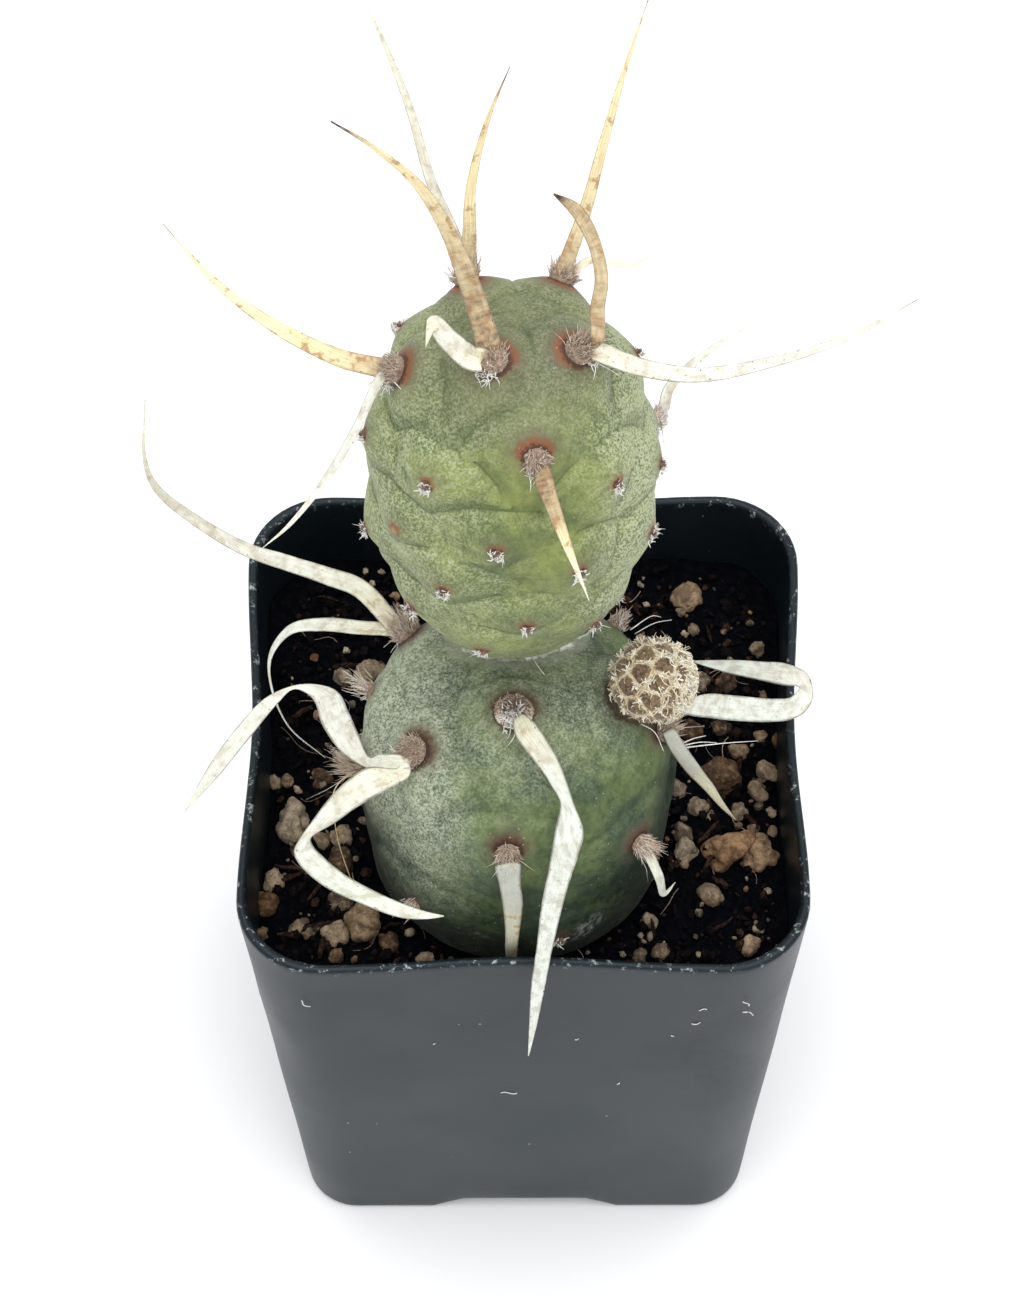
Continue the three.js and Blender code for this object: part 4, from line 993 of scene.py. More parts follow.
# Clusters of spines: the areole each leaves, the size and tones of its felt and bristles, and its ribbons
UPPER_CLUSTERS = {
    "crown_front": dict(at=0, felt=1.6, slot=TAN, brush=1.0, ribbons=[
        dict(width=2.3, taper=1.6, face=[FRONT], thick=0.6, warm=(1, 0.66, 0.42), tip=0.16, cup=0.05, route=[
            (-3.6, 2.6, 120.5), (-5, 4.2, 125), (-6.4, 5.4, 128.8), (-8.8, 6.4, 133.4), (-12.3, 6.8, 137.6),
            (-15.6, 6.7, 141),
        ]),
        dict(width=2.2, taper=3, warm=(0.35, 0.08, 0.25), route=[
            (-4.2, -0.8, 118.2), (-6, -0.6, 120.4), (-7.4, -0.2, 122.4), (-7.6, -0.5, 122.5),
            (-8.1, -1.9, 121.4),
        ]),
    ]),
    "crown_back": dict(at=1, slot=TAN, brush=2.4, tint=(0.25, 0.6), ribbons=[
        dict(width=1.5, taper=1.8, face=[FRONT], thick=0.5, warm=(0.95, 0.5, 0.6), tip=0.14, cup=0.05,
            route=[
                (-4.5, 13.2, 118), (-4.3, 15, 122), (-2.9, 17.6, 127.5), (-0.9, 19.6, 132.5),
            ]),
        dict(width=1.1, face=[FRONT], warm=(0.2, 0.1, 0.2), thick=0.1, route=[
            (-5.8, 13.6, 117), (-7.8, 15.6, 122), (-9.4, 18.2, 128), (-11.4, 20.4, 134), (-13.2, 22, 138.5),
        ]),
    ]),
    "crown_right": dict(at=2, felt=1.5, slot=TAN, brush=1.9, tint=(0.25, 0.6), ribbons=[
        dict(thick=0.45, warm=(1, 0.66, 0.75), tip=0.12, cup=0.05, edges=[
            (5.9, 1.7, 118.2, 7.2, 1.5, 118), (5.9, 4.2, 118.6, 7.2, 4.2, 118.6),
            (6.3, 5.6, 120.8, 7.5, 5.6, 120.8), (5.9, 6.7, 123.4, 7.0, 6.9, 123.6),
            (5.1, 7.3, 125.6, 6.1, 7.9, 126), (4.2, 7.6, 127.5, 4.8, 8.4, 128),
            (2.8, 8.3, 129.1, 2.8, 8.5, 129.2),
        ]),
        dict(width=1.8, taper=2, face=[(0, -0.6, 0.8)], warm=(0.3, 0.03, 0.1), tip=0.05, speckle=2.2, route=[
            (10.2, 0.8, 114.8), (15.4, 0.4, 114.2), (21.4, 1.4, 114.6), (28.2, 3.2, 115.8),
            (34.2, 5.6, 118),
        ]),
    ]),
    "shoulder_left": dict(at=3, felt=1.5, slot=TAN, ribbons=[
        dict(width=1.9, taper=2, thick=0.4, warm=(0.85, 0.5, 0.3), tip=0.06, route=[
            (-15.7, 3, 113.2), (-20.8, 4.1, 115.9), (-25.6, 5.7, 119.6), (-30.6, 8.6, 125),
        ]),
        dict(width=1.2, taper=2, face=[(-0.6, -0.4, 0.7)], warm=(0.1, 0.05, 0.1), route=[
            (-14.4, -1.3, 108.6), (-17.3, -4.4, 105), (-20.4, -7.1, 102.3), (-22.8, -8.6, 100.9),
        ]),
    ]),
    "shoulder_back": dict(at=4, slot=TAN, brush=1.8, tint=(0.25, 0.6), ribbons=[
        dict(width=1.5, taper=1.8, face=[FRONT], thick=0.45, warm=(0.9, 0.5, 0.45), tip=0.05, cup=0.05,
            route=[
                (5.6, 16.2, 117), (7.2, 19, 123), (8.8, 21.4, 129), (11, 24, 136.5),
            ]),
        dict(width=0.9, face=[UP], warm=(0.2, 0.2, 0.2), route=[
            (6.4, 14.2, 112.6), (9.4, 13.8, 112.2), (11.6, 14.4, 113),
        ]),
    ]),
    "face_middle": dict(at=5, felt=1.2, slot=TAN, brush=0.7, ribbons=[
        dict(width=1.9, taper=2, face=[FRONT], thick=0.4, warm=(0.95, 0.85, 0.05), cup=0.05, route=[
            (2.4, -9.9, 110.6), (4, -13, 107.4), (5.8, -16.6, 104.6),
        ]),
    ]),
    "back_high": dict(at=9, slot=PAPER, ribbons=[
        dict(width=1.6, face=[(0, 1, 0.4)], warm=(0.4, 0.1, 0.1), route=[
            (-1.8, 17.4, 104.6), (-2.6, 19.2, 101), (-3.2, 20.2, 96), (-2.8, 20.8, 90),
        ]),
    ]),
    "back_right": dict(at=20, felt=0.9, slot=PAPER, tint=(0.6, 1), felt_tint=(0.5, 0.95), brush=0.7,
                       ribbons=[
        dict(width=1.1, face=[UP], route=[
            (13.2, 9.4, 99.8), (15, 11.2, 100.6), (17.6, 13, 101.6), (20.6, 15, 101.8),
        ]),
    ]),
    "back_left": dict(at=14, slot=PAPER, ribbons=[
        dict(width=1.5, face=[(-0.4, 1, 0.3)], route=[
            (-10.6, 16, 101), (-11.4, 18.6, 97), (-10.4, 20.4, 91.6), (-8, 21.6, 87),
        ]),
    ]),
}

LOWER_CLUSTERS = {
    "disc": dict(at="disc", felt=1.9, slot=PAPER, brush=0.7, ahead=(0, 0, 0), ribbons=[
        dict(warm=(0.3, 0.0, 0.0), grey=(0.2, 0.0, 0.0), edges=[
            (-0.7, -13.7, 78.1, 1.1, -12.7, 78.8), (0.4, -15.5, 78.2, 2.2, -14.5, 78.7),
            (1.4, -17.2, 78.5, 3.3, -16.8, 78.7), (2.4, -18.3, 77.4, 4.5, -19.5, 76.5),
            (3.3, -19.6, 76.3, 5.5, -22, 74.8), (2.9, -21.4, 74.4, 5, -23.4, 73.1),
            (2.4, -23.1, 71.2, 4.4, -24.1, 70.6), (1.7, -25, 67.1, 3.7, -25, 67.1),
            (1.2, -27, 62.3, 2.7, -27, 62.3), (0.7, -28.4, 57.5, 2, -28.4, 57.5),
            (0.5, -29.8, 52.3, 1.2, -29.8, 52.3), (0.4, -30.8, 48.7, 0.5, -30.8, 48.7),
        ]),
    ]),
    "left": dict(at="left", felt=1.7, slot=PAPER, ribbons=[
        dict(warm=(0.25, 0, 0.1), edges=[
            (-10.4, -14.9, 74.6, -11.5, -13.9, 75.2), (-12.5, -14.6, 73.8, -13, -13.4, 74.5),
            (-14.4, -13.8, 72.8, -14.1, -13, 73.3), (-16.7, -13, 74.4, -15.2, -11.4, 75.3),
            (-18.3, -11.5, 76.4, -15.9, -10.5, 77.1), (-19.2, -10.4, 79.5, -17, -9.8, 79.8),
            (-20.8, -10.1, 80.4, -19.8, -9.7, 80.7), (-22.3, -11, 79.4, -23.1, -10.4, 79.8),
            (-24.8, -12.9, 76.8, -26, -12.1, 77.3), (-27.5, -15.1, 74.2, -28.8, -14.7, 74.4),
            (-31.1, -17.1, 70.4, -31.1, -17.1, 70.5),
        ]),
        dict(warm=(0.25, 0.05, 0.15), edges=[
            (-11.4, -14.9, 74.6, -10.3, -15.5, 74.2), (-14.2, -15.5, 75.6, -12.5, -17.3, 74.5),
            (-17.1, -17.2, 74.2, -15, -18.4, 73.5), (-18.9, -18.5, 72.1, -17.3, -19.1, 71.6),
            (-20.8, -20.1, 69.4, -19.4, -19.5, 69.7), (-21, -20.5, 68.3, -19.2, -19.9, 68.8),
            (-20.4, -21.2, 67.4, -18.6, -20.2, 68), (-18.2, -22.3, 65.6, -16.4, -21.3, 66.2),
            (-15.2, -23.2, 64.3, -13.5, -22.4, 64.9), (-11.4, -24.5, 63.8, -10.8, -23.5, 64.5),
            (-9, -24.9, 64.2, -8.9, -24.3, 64.6), (-7.3, -25, 64.8, -7.3, -24.9, 64.9),
        ]),
    ]),
    "back_left": dict(at="back_left", felt=1.6, slot=PAPER, brush=2.4, tint=(0.3, 0.7), ribbons=[
        dict(width=1.9, taper=2, warm=(0.3, 0.02, 0.2), tip=0.03, route=[
            (-15, 5.6, 73), (-18.6, 8.4, 71.4), (-22.5, 10.2, 71), (-26.3, 11.2, 71.8), (-31, 11.8, 76),
            (-34, 11.4, 81.4), (-34.8, 11, 87), (-34.2, 11.4, 95.6),
        ]),
        dict(width=1.6, taper=2.4, face=[UP, (-1, 0, 0.2)], warm=(0.3, 0.05, 0.1), route=[
            (-15.6, 3.4, 70), (-19, 5.2, 67.8), (-22, 5.2, 67), (-23.9, 3.6, 65.2), (-24, 1.8, 62.6),
            (-22.4, -1, 59.6), (-18.9, -3.5, 57.9),
        ]),
    ]),
    "right": dict(at="right", felt=1.1, slot=PAPER, brush=1.6, tint=(0.3, 0.7), ribbons=[
        dict(warm=(0.1, 0.0, 0.0), edges=[
            (15.5, -6.4, 72.6, 14.2, -7.6, 71.8), (17.1, -4.3, 70.4, 16.5, -6.1, 69.2),
            (19.8, -2.2, 66.8, 19.8, -4.2, 65.5), (23.7, -0.7, 63.9, 23.4, -2.5, 62.6),
            (25.4, 0.1, 62.9, 25.4, -1.7, 61.7), (26.1, 0.8, 63, 26.7, -1, 61.8),
            (26.3, 1.2, 62.8, 27.6, 0.4, 62.4), (26.1, 1.2, 63, 27.1, 2.2, 63.6),
            (24.9, 1.5, 62.7, 25.1, 3.3, 63.8), (23.1, 2.3, 62.2, 23.1, 3.9, 63.2),
            (19.4, 3.5, 61.9, 20.1, 4.5, 62.6), (16.4, 4.7, 61.8, 16.4, 4.9, 61.9),
        ]),
        # Its grey is partly painted shade on the upright face.
        dict(warm=(0.1, 0.1, 0.85), grey=(0.7, 0.8, 0.3), edges=[
            (12.9, -10.4, 73, 14, -10, 73.3), (13.6, -10.8, 70.8, 15, -10.4, 71.1),
            (15.2, -10.9, 67.1, 16.7, -10.7, 67.2), (17, -11.2, 64.3, 17.9, -10.8, 64.5),
            (18.5, -11.4, 61.7, 18.9, -11, 61.9), (20, -11.6, 59.6, 20.1, -11.6, 59.7),
        ]),
    ], bristles=[
        [(14.4, -9.8, 69.6), (18.6, -8.2, 67.9), (22.1, -6, 64.8)],
        [(14.4, -9.6, 69.8), (15.8, -9, 70), (17, -8.6, 69.9)],
        [(14.4, -9.7, 69.7), (16.4, -8.7, 68.9), (18.1, -8, 67.7)],
    ]),
    "front": dict(at="front", felt=1.3, slot=PAPER, brush=1.3, tint=(0.2, 0.8), cotton=False, ribbons=[
        # Its grey is partly painted shade on the upright face.
        dict(warm=(0.0, 0.1, 0.95), grey=(0.65, 0.85, 0.5), edges=[
            (-2.5, -23, 70.6, -0.2, -22.8, 70.7), (-2.2, -23.6, 68.1, -0.2, -23.6, 68.1),
            (-1.9, -24.1, 65.4, 0, -23.9, 65.5), (-1.7, -24.2, 61, -0.3, -24.2, 61),
            (-1.7, -24, 56.5, -0.6, -24, 56.5), (-1.4, -23.8, 53.5, -0.8, -23.8, 53.5),
        ]),
    ]),
    "front_right": dict(at="front_right", felt=1.1, slot=PAPER, brush=1.7, tint=(0.35, 0.8), cotton=False,
                        ahead=(0.9, -0.3, -0.4), ribbons=[
        dict(width=1, taper=4, face=[(0.5, -0.8, 0.3)], warm=(0.3, 0.1, 0.2), grey=(0.3, 0.1, 0.0), route=[
            (12.6, -19.6, 62.8), (13.2, -19.8, 60), (14.2, -18.8, 60.4),
        ]),
    ]),
    "side_left": dict(at="side_left", felt=1.2, slot=PAPER, brush=2.6, tint=(0.3, 0.75),
                      ahead=(-0.8, 0.4, 0.5), ribbons=[
        dict(width=0.8, face=[(-1, 0, 0)], warm=(0.5, 0.5, 0.7), route=[
            (-17.5, -12.6, 67), (-17.4, -15.4, 64), (-15.8, -18.6, 58.6),
        ]),
    ]),
    "back": dict(at="back", felt=1.5, slot=PAPER, ribbons=[
        dict(width=1.9, taper=2.4, face=[(0, 0.4, 0.9)], warm=(0.25, 0.05, 0.2), route=[
            (-1, 12, 71.6), (1.4, 17.4, 72.4), (4.6, 23.4, 74), (7.2, 28, 76.6), (8, 31, 80.4),
        ]),
        dict(width=1.5, face=[(0, 1, 0.4)], warm=(0.25, 0.05, 0.1), route=[
            (-4.4, 12, 69), (-8, 15.6, 67.2), (-10.6, 19.4, 63.4), (-9, 21.8, 58.6),
        ]),
    ]),
    "back_low": dict(at="back_low", felt=1.2, slot=PAPER, ribbons=[
        dict(width=1.4, face=[(0.3, 1, 0.4)], warm=(0.3, 0.1, 0.2), route=[
            (6.4, 9.4, 64), (6.8, 13, 62), (6.8, 15.6, 58), (5.6, 16.8, 53.6),
        ]),
    ]),
}


def areole_index(cluster):
    return cluster["at"] if isinstance(cluster["at"], int) else LOWER_NAMES.index(cluster["at"])


def spine_start(spine):
    """The place where a ribbon is clear of its areole."""
    return np.array(spine["route"][0]) if "route" in spine else np.reshape(spine["edges"][0], (2, 3)).mean(0)


def disc_felt(felt, base, up, radius, downhill, random, seed):
    """A hollow round areole: pale fibres lean in from its rim, over a dark middle and cotton at its foot."""
    felt_dome(felt, base - 0.4 * up, up, radius * 0.95, 0.04, seed)
    count = 520
    flat = around(any_turn(random, count), up)
    roots = base + flat * (radius * random.uniform(0.7, 0.98, count))[:, None] - 0.15 * up
    ways = unit(up - 1.1 * flat + 0.35 * random.normal(size=(count, 3)))
    paths = curls(roots, ways, random.uniform(0.35, 0.8, count), 0.3, random, 5)
    pale = 0.5 * smoothstep(-0.2, 0.9, flat @ downhill) + random.uniform(0.05, 0.6, count)
    felt.add_strands(paths, HAIR_TAPER * 0.06, tint=np.clip(pale, 0, 1))
    cotton = base + 0.34 * radius * downhill + 0.35 * up
    wool(felt, cotton, up, 130, 0.22, random, 0.5 * radius, (0.85, 1), 0.09, 1.2)
    fibre_bed(felt, cotton + 0.1 * up, up, 0.55 * radius, 34, 0.4, random, (0, 0.03), thick=0.13)


def make_cluster(segment, prefix, name, cluster, seed):
    """A felt cushion with its fibres, glochids and ribbons, as a felt piece and a ribbon piece."""
    random = random_of(seed)
    index = areole_index(cluster)
    base, up = segment.seat(index)
    downhill = segment.downhill(index)
    radius = cluster.get("felt", 1.4)
    brush, tint = cluster.get("brush", 1.2), cluster.get("tint", (0.2, 0.5))
    ahead = np.array(cluster.get("ahead", unit(spine_start(cluster["ribbons"][0]) - base)))
    low, high = cluster.get("felt_tint", (0.1, 0.6))
    felt = Shape()
    if name == "disc":
        disc_felt(felt, base, up, radius, downhill, random, seed)
    else:
        felt_dome(felt, base, up, radius * 0.86, low + 0.08, seed)
        fibre_bed(felt, base, up, radius * 0.88, 230, 0.7, random, (low, high + 0.2), 0.4 * ahead)
        fibre_bed(felt, base, up, radius * 0.7, 110, brush, random, tint, 1.1 * ahead, 0.5)
        fibre_bed(felt, base, up, radius * 0.6, 8, 1.4 * brush, random, (0.6, 0.9), spread=1.3, thick=0.035)
    if cluster.get("cotton", True):
        wool(felt, base + 0.8 * radius * downhill, up, 36, 0.5, random, 0.5 * radius, (0.85, 1), 0.06, 1.2)
    add_bristles(felt, cluster.get("bristles", []), 0.075, 0.03)
    ribbons = Shape()
    for number, spine in enumerate(cluster["ribbons"]):
        toward = unit(spine_start(spine) - base)
        toward = 0.55 * radius * unit(toward - (toward @ up) * up)
        ribbon(ribbons, [base - 0.3 * up + toward, base + 0.6 * up + toward], seed + number, **spine)
    node = f"{prefix}_spines_{name}"
    slot = cluster["slot"]
    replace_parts(ribbons.build(f"{node}_ribbons", slot), node)
    felt.build(f"{node}_felt", "felt")


# Bud


def make_bud():
    base, up = LOWER.seat(LOWER_NAMES.index("bud"))
    middle = base + up * (BUD_RADIUS - BUD_SUNK)
    pole = unit(np.array([-0.05, -0.6, 0.8]))
    own_frame = np.stack([*side_axes(pole), pole])
    k = np.arange(BUD_SCALES)
    lift = 1 - (2 * k + 1) / BUD_SCALES
    turn = k * GOLDEN_ANGLE * DEG
    ring = np.sqrt(1 - lift ** 2)
    scales = np.stack([ring * np.cos(turn), ring * np.sin(turn), lift], -1) @ own_frame
    rows, sides = 90, 130
    polar = np.repeat(np.arange(1, rows) / rows * np.pi, sides)
    turn = np.tile(np.arange(sides) / sides * 2 * np.pi, rows - 1)
    ways = np.stack([np.sin(polar) * np.cos(turn), np.sin(polar) * np.sin(turn), -np.cos(polar)], -1)
    ways = np.concatenate([[[0, 0, -1]], ways, [[0, 0, 1]]]) @ own_frame
    distance = np.linalg.norm(ways[:, None] - scales[None], axis=-1)
    near, second = np.partition(distance, 1, axis=1)[:, :2].T
    border = 1 - smoothstep(0.03, 0.13, second - near)
    height = BUD_RADIUS - 0.38 + 0.26 * (1 - (near / 0.31) ** 2) - 0.12 * border
    points = middle + ways * (height + 0.05 * noise_at(ways * 4, 0.5, 4))[:, None]
    patches = 0.5 + 0.5 * noise_at(ways * 4, 1.2, 8)
    surface = lofted(points[1:-1].reshape(rows - 1, sides, 3), points[0], points[-1])
    ball = Shape()
    ball.add(*surface, tint=np.clip(0.02 + 0.3 * border + 0.12 * patches, 0, 1))
    ring = circle(24, up)
    neck = [base - 1.1 * up + 1.6 * ring, base + 0.2 * up + 1.7 * ring, base + 1.4 * up + 1.7 * ring]
    ball.add(*lofted(neck, base - 1.1 * up, base + 1.4 * up), tint=0.2)
    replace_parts(ball.build("bud_ball", "bud_wool"), "bud")
    make_bud_wool(middle, scales, up, pole)


def make_bud_wool(middle, scales, up, pole):
    """Wool along the borders of the bud's scales, a bright tuft at each tip and straw hair on one side."""
    random = random_of("bud")
    fuzz = Shape()

    def strands(ways, heading, lengths, tint, thick, curl, high):
        paths = curls(middle + ways * (BUD_RADIUS - 0.35), unit(heading), lengths, curl, random, 5)
        reach = np.linalg.norm(paths - middle, axis=-1, keepdims=True)
        paths = middle + (paths - middle) / reach * np.clip(reach, BUD_RADIUS - 0.4, BUD_RADIUS + high)
        tints = random.uniform(*tint, len(ways))
        fuzz.add_strands(paths, HAIR_TAPER * thick, tint=tints)

    ways = unit(random.normal(size=(12000, 3)))
    distance = np.linalg.norm(ways[:, None] - scales[None], axis=-1)
    order = np.argsort(distance, axis=1)
    rank = np.arange(len(ways))
    gap = distance[rank, order[:, 1]] - distance[rank, order[:, 0]]
    keep = (gap < 0.09) & (ways @ up > -0.75)
    ways, order = ways[keep][:800], order[keep][:800]
    border = unit(np.cross(scales[order[:, 0]] - scales[order[:, 1]], ways))
    border *= np.where(random.random(len(ways)) < 0.5, -1, 1)[:, None]
    heading = border + 0.15 * ways + 0.12 * random.normal(size=ways.shape)
    strands(ways, heading, random.uniform(0.4, 0.8, len(ways)), (0.45, 0.85), 0.06, 0.1, 0.1)

    toward_pole = unit(pole - (scales @ pole)[:, None] * scales)
    tips = np.repeat(unit(scales + 0.25 * toward_pole), 16, axis=0)
    tips = unit(tips + 0.03 * random.normal(size=tips.shape))
    tips = tips[tips @ up > -0.6]
    heading = 0.4 * tips + random.normal(size=tips.shape)
    strands(tips, heading, random.uniform(0.35, 0.8, len(tips)), (0.7, 1.0), 0.08, 0.2, 0.12)

    ways = unit(random.normal(size=(6000, 3)))
    side = ways @ unit(np.array([1, -0.1, 0.35]))
    ways = ways[(side + 0.15 * random.normal(size=len(ways)) > 0.5) & (ways @ up > -0.6)][:900]
    heading = np.array([0.1, -0.2, -0.6]) + 0.25 * ways + 0.5 * random.normal(size=ways.shape)
    strands(ways, heading, random.uniform(0.6, 1.2, len(ways)), (0.65, 1.0), 0.075, 0.2, 0.2)

    ways = unit(random.normal(size=(1200, 3)))
    ways = ways[ways @ up > -0.3][:120]
    heading = ways + 0.8 * random.normal(size=ways.shape)
    strands(ways, heading, random.uniform(0.5, 1.0, len(ways)), (0.5, 0.9), 0.038, 0.3, 0.5)
    fuzz.build("bud_fuzz", "bud_wool")


# Junction of the segments


def on_lower(places):
    """Points of the lower skin at places on top of it, given as x and y, and the ways out of it."""
    x, y, _ = LOWER.local(np.column_stack([places, np.full(len(places), 76.0)])).T
    top = LOWER.samples[:, 1] > 8
    rise = np.interp(-np.hypot(x, y), -LOWER.samples[top, 0], LOWER.rises[top])
    angle = np.arctan2(y, x) / DEG
    return LOWER.skin(angle, rise)[0], LOWER.turned(LOWER.smooth(angle, rise)[1])


def make_neck():
    """The short neck by which the upper segment grew out of the lower one."""
    (foot,), (way,) = on_lower(np.array([NECK_PLACE]))
    ring = circle(40, way)
    rings = np.array([foot + size * ring + rise * way for rise, size in NECK_RINGS])
    rings += 0.12 * noise_at(rings, 0.8)[..., None] * ring
    shape = Shape()
    shape.add(*lofted(rings, foot - way, foot + 1.3 * way), brown=0.8, bloom=0.3, seam=SEAM_END)
    shape.build("segment_neck", "skin_old")


def make_fringe():
    """White flakes of dry skin and one thread on the seam in front of the neck."""
    random = random_of("fringe")
    shape = Shape()
    for middle in SEAM_FLAKES:
        line, out = on_lower(spline(SEAM, middle + np.linspace(-0.035, 0.035, 7)))
        paths = line + 0.1 * out + random.normal(size=(4, 7, 3)) * 0.09
        sizes = random.uniform(0.07, 0.15, (4, 1)) * np.array([0.3, 0.9, 1, 0.7, 1.1, 0.8, 0.2])
        shape.add_strands(paths, sizes, 5, tint=1)
        fibre_bed(shape, line[3] - 0.4 * out[3], out[3], 0.3, 3, 1.0, random, (0.9, 1.0), thick=0.035)
    line, out = on_lower(np.array([(0.9, -3.7), (1.4, -4.9), (2.0, -5.9)]))
    shape.add_strands(spline(line + 0.25 * out, np.linspace(0, 1, 9))[None], 0.05, 4, tint=1)
    shape.build("junction_fringe", "felt")


# Soil


def soil_height(x, y):
    broad = 0.5 * np.sin(0.55 * x + 1) * np.cos(0.47 * y)
    narrow = 0.35 * np.sin(0.9 * y - 0.6 * x)
    return SOIL_LEVEL + SOIL_ROUGHNESS * (broad + narrow)


def above_soil(x, y, lift):
    return np.stack([x, y, soil_height(x, y) + lift], -1)


# Grains that show between the plant and the pot: x, y, radius, tone (cream to orange), darkening
PUMICE = [
    (16.3, 20.2, 1.4, 0.55, 0.1), (16.9, 16.9, 0.7, 0.4, 0.3), (23.2, 14.3, 0.7, 0.35, 0.3),
    (17.5, 10.7, 0.9, 0.3, 0.6), (20.0, 10.5, 1.2, 0.9, 0.7), (23.5, 9.0, 0.5, 0.4, 0.5),
    (16.4, 4.5, 1.1, 0.9, 0.65), (19.3, 5.2, 1.0, 0.8, 0.75), (23.2, 4.1, 0.7, 0.5, 0.2),
    (25.0, 3.5, 0.8, 0.95, 0.5), (21.1, 2.3, 0.9, 0.4, 0.35), (23.7, 0.0, 1.1, 0.3, 0.0),
    (22.8, -2.3, 1.0, 0.4, 0.1), (19.2, -0.3, 1.6, 0.85, 0.6), (16.9, -3.8, 0.9, 0.25, 0.2),
    (14.9, -2.1, 0.9, 0.2, 0.35), (18.1, -5.1, 0.5, 0.2, 0.2), (20.8, -4.7, 0.9, 0.3, 0.4),
    (24.0, -4.4, 0.5, 0.3, 0.1), (15.4, -7.1, 1.1, 0.3, 0.5), (15.6, -9.0, 1.1, 0.1, 0.15),
    (24.1, -6.3, 0.5, 0.4, 0.2), (22.2, -6.2, 0.6, 0.4, 0.3), (23.4, -13.3, 0.4, 0.1, 0.1),
    (17.9, -13.7, 1.2, 0.4, 0.35), (22.4, -17.4, 0.5, 0.05, 0.0), (12.0, -16.6, 0.7, 0.2, 0.2),
    (21.7, -19.3, 1.1, 0.45, 0.0), (24.3, -19.3, 0.5, 0.4, 0.4), (13.0, -19.7, 0.8, 0.5, 0.5),
    (11.0, -20.3, 0.7, 0.5, 0.5), (-15.2, 11.7, 1.3, 0.25, 0.2), (-17.8, 11.0, 0.9, 0.2, 0.3),
    (-17.5, 14.7, 0.4, 0.0, 0.0), (-24.2, -1.1, 0.7, 0.3, 0.1), (-23.0, -1.0, 0.7, 0.5, 0.2),
    (-19.6, -0.6, 1.0, 0.8, 0.6), (-19.4, -7.3, 0.9, 0.4, 0.3), (-17.5, -7.3, 1.1, 0.3, 0.25),
    (-23.9, -12.3, 1.0, 0.3, 0.1), (-24.5, -14.7, 1.2, 0.95, 0.5), (-21.7, -17.2, 0.8, 0.4, 0.3),
    (-17.8, -18.1, 1.1, 0.35, 0.1), (-17.3, -13.7, 1.4, 0.4, 0.6), (-20.4, -17.9, 0.6, 0.4, 0.5),
    (-9.3, -20.6, 0.9, 0.3, 0.15), (-5.0, -22.4, 0.9, 0.15, 0.1), (-2.6, -22.9, 0.8, 0.05, 0.05),
    (-17.6, -10.2, 1.2, 0.8, 0.65), (-12.8, -18.8, 1.0, 0.8, 0.6), (-17.8, -20.3, 0.8, 0.7, 0.5),
    (-21.5, -8.1, 0.9, 0.4, 0.5), (-25.0, -17.7, 0.6, 0.6, 0.4), (16.0, 16.4, 0.4, 0.0, 0.0),
    (12.3, 20.2, 0.35, 0.0, 0.0), (-15.8, 24.0, 0.35, 0.0, 0.0), (-14.2, 24.0, 0.35, 0.0, 0.0),
    (-15.1, 22.5, 0.3, 0.0, 0.0),
]
# Large grains, listed in the same way
BOULDERS = [
    (19.5, -9.0, 2.2, 0.8, 0.05), (22.6, -9.4, 1.7, 0.65, 0.1), (-22.3, -5.6, 1.8, 0.12, 0.15),
    (-15.2, -17.0, 1.8, 0.55, 0.1),
]


def on_soil(random, count, margin):
    """Random places on the soil beside the plant."""
    limit = (RIM_WIDTH + FOOT_WIDTH) / 4 - WALL + 0.6 - margin
    x, y = random.uniform(-limit, limit, (2, 12 * count))
    clear = np.hypot(x - LOWER.middle[0], y - LOWER.middle[1] - 0.5) > 14.2
    inside = np.abs(x) + np.abs(y) < 1.78 * limit
    keep = np.flatnonzero(clear & inside)[:count]
    return x[keep], y[keep]


def make_soil():
    inset = WALL + 0.05
    floor = PLATE_HIGH + 0.4
    edge = pot_ring(SOIL_LEVEL, inset)
    rings = [pot_ring(floor, inset + 1.2), pot_ring(floor + 1, inset), pot_ring(SOIL_LEVEL - 4, inset)]
    for share in [1, *np.linspace(0.99, 0.03, 62)]:
        ring = edge * share
        ring[:, 2] = soil_height(ring[:, 0], ring[:, 1])
        ring[:, 2] += 0.45 * noise_at(ring, 2.0, 6) + 0.3 * noise_at(ring, 0.8, 7)
        rings.append(ring)
    bed = Shape()
    bed.add(*lofted(rings, (0, 0, floor), (0, 0, SOIL_LEVEL)))
    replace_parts(bed.build("soil_bed", "soil"), "soil")


def make_crumbs():
    """Crumbs of peat and bits of bark on the soil."""
    random = random_of("crumbs")
    crumbs = Shape()
    x, y = on_soil(random, 1500, 0.4)
    count = len(x)
    size = 0.2 + 0.55 * random.random(count) ** 2
    points, blocks, step = rocks(above_soil(x, y, 0.2 * size + 0.25), size, "crumb_forms", 1, 0.5, 0.45)
    bark = random.random(count) < 0.14
    tone = np.where(bark, random.uniform(0.3, 1, count), random.uniform(0, 0.12, count))
    crumbs.add(points, blocks, tone=np.repeat(tone, step))
    x, y = on_soil(random, 60, 1.6)
    count = len(x)
    turn = random.random(count) * np.pi
    reach = random.uniform(0.5, 1.9, count)
    way = np.stack([np.cos(turn), np.sin(turn), random.uniform(-0.25, 0.35, count)], -1) * reach[:, None]
    paths = above_soil(x, y, 0.65)[:, None] + np.linspace(-1, 1, 5)[None, :, None] * way[:, None]
    paths += random.normal(size=paths.shape) * 0.07
    sizes = random.uniform(0.14, 0.34, (count, 1)) * np.array([0.6, 1, 1.1, 0.9, 0.4])
    crumbs.add_strands(paths, sizes, 5, tone=random.uniform(0.45, 1, count))
    crumbs.build("soil_crumbs", "crumbs", smooth=False)


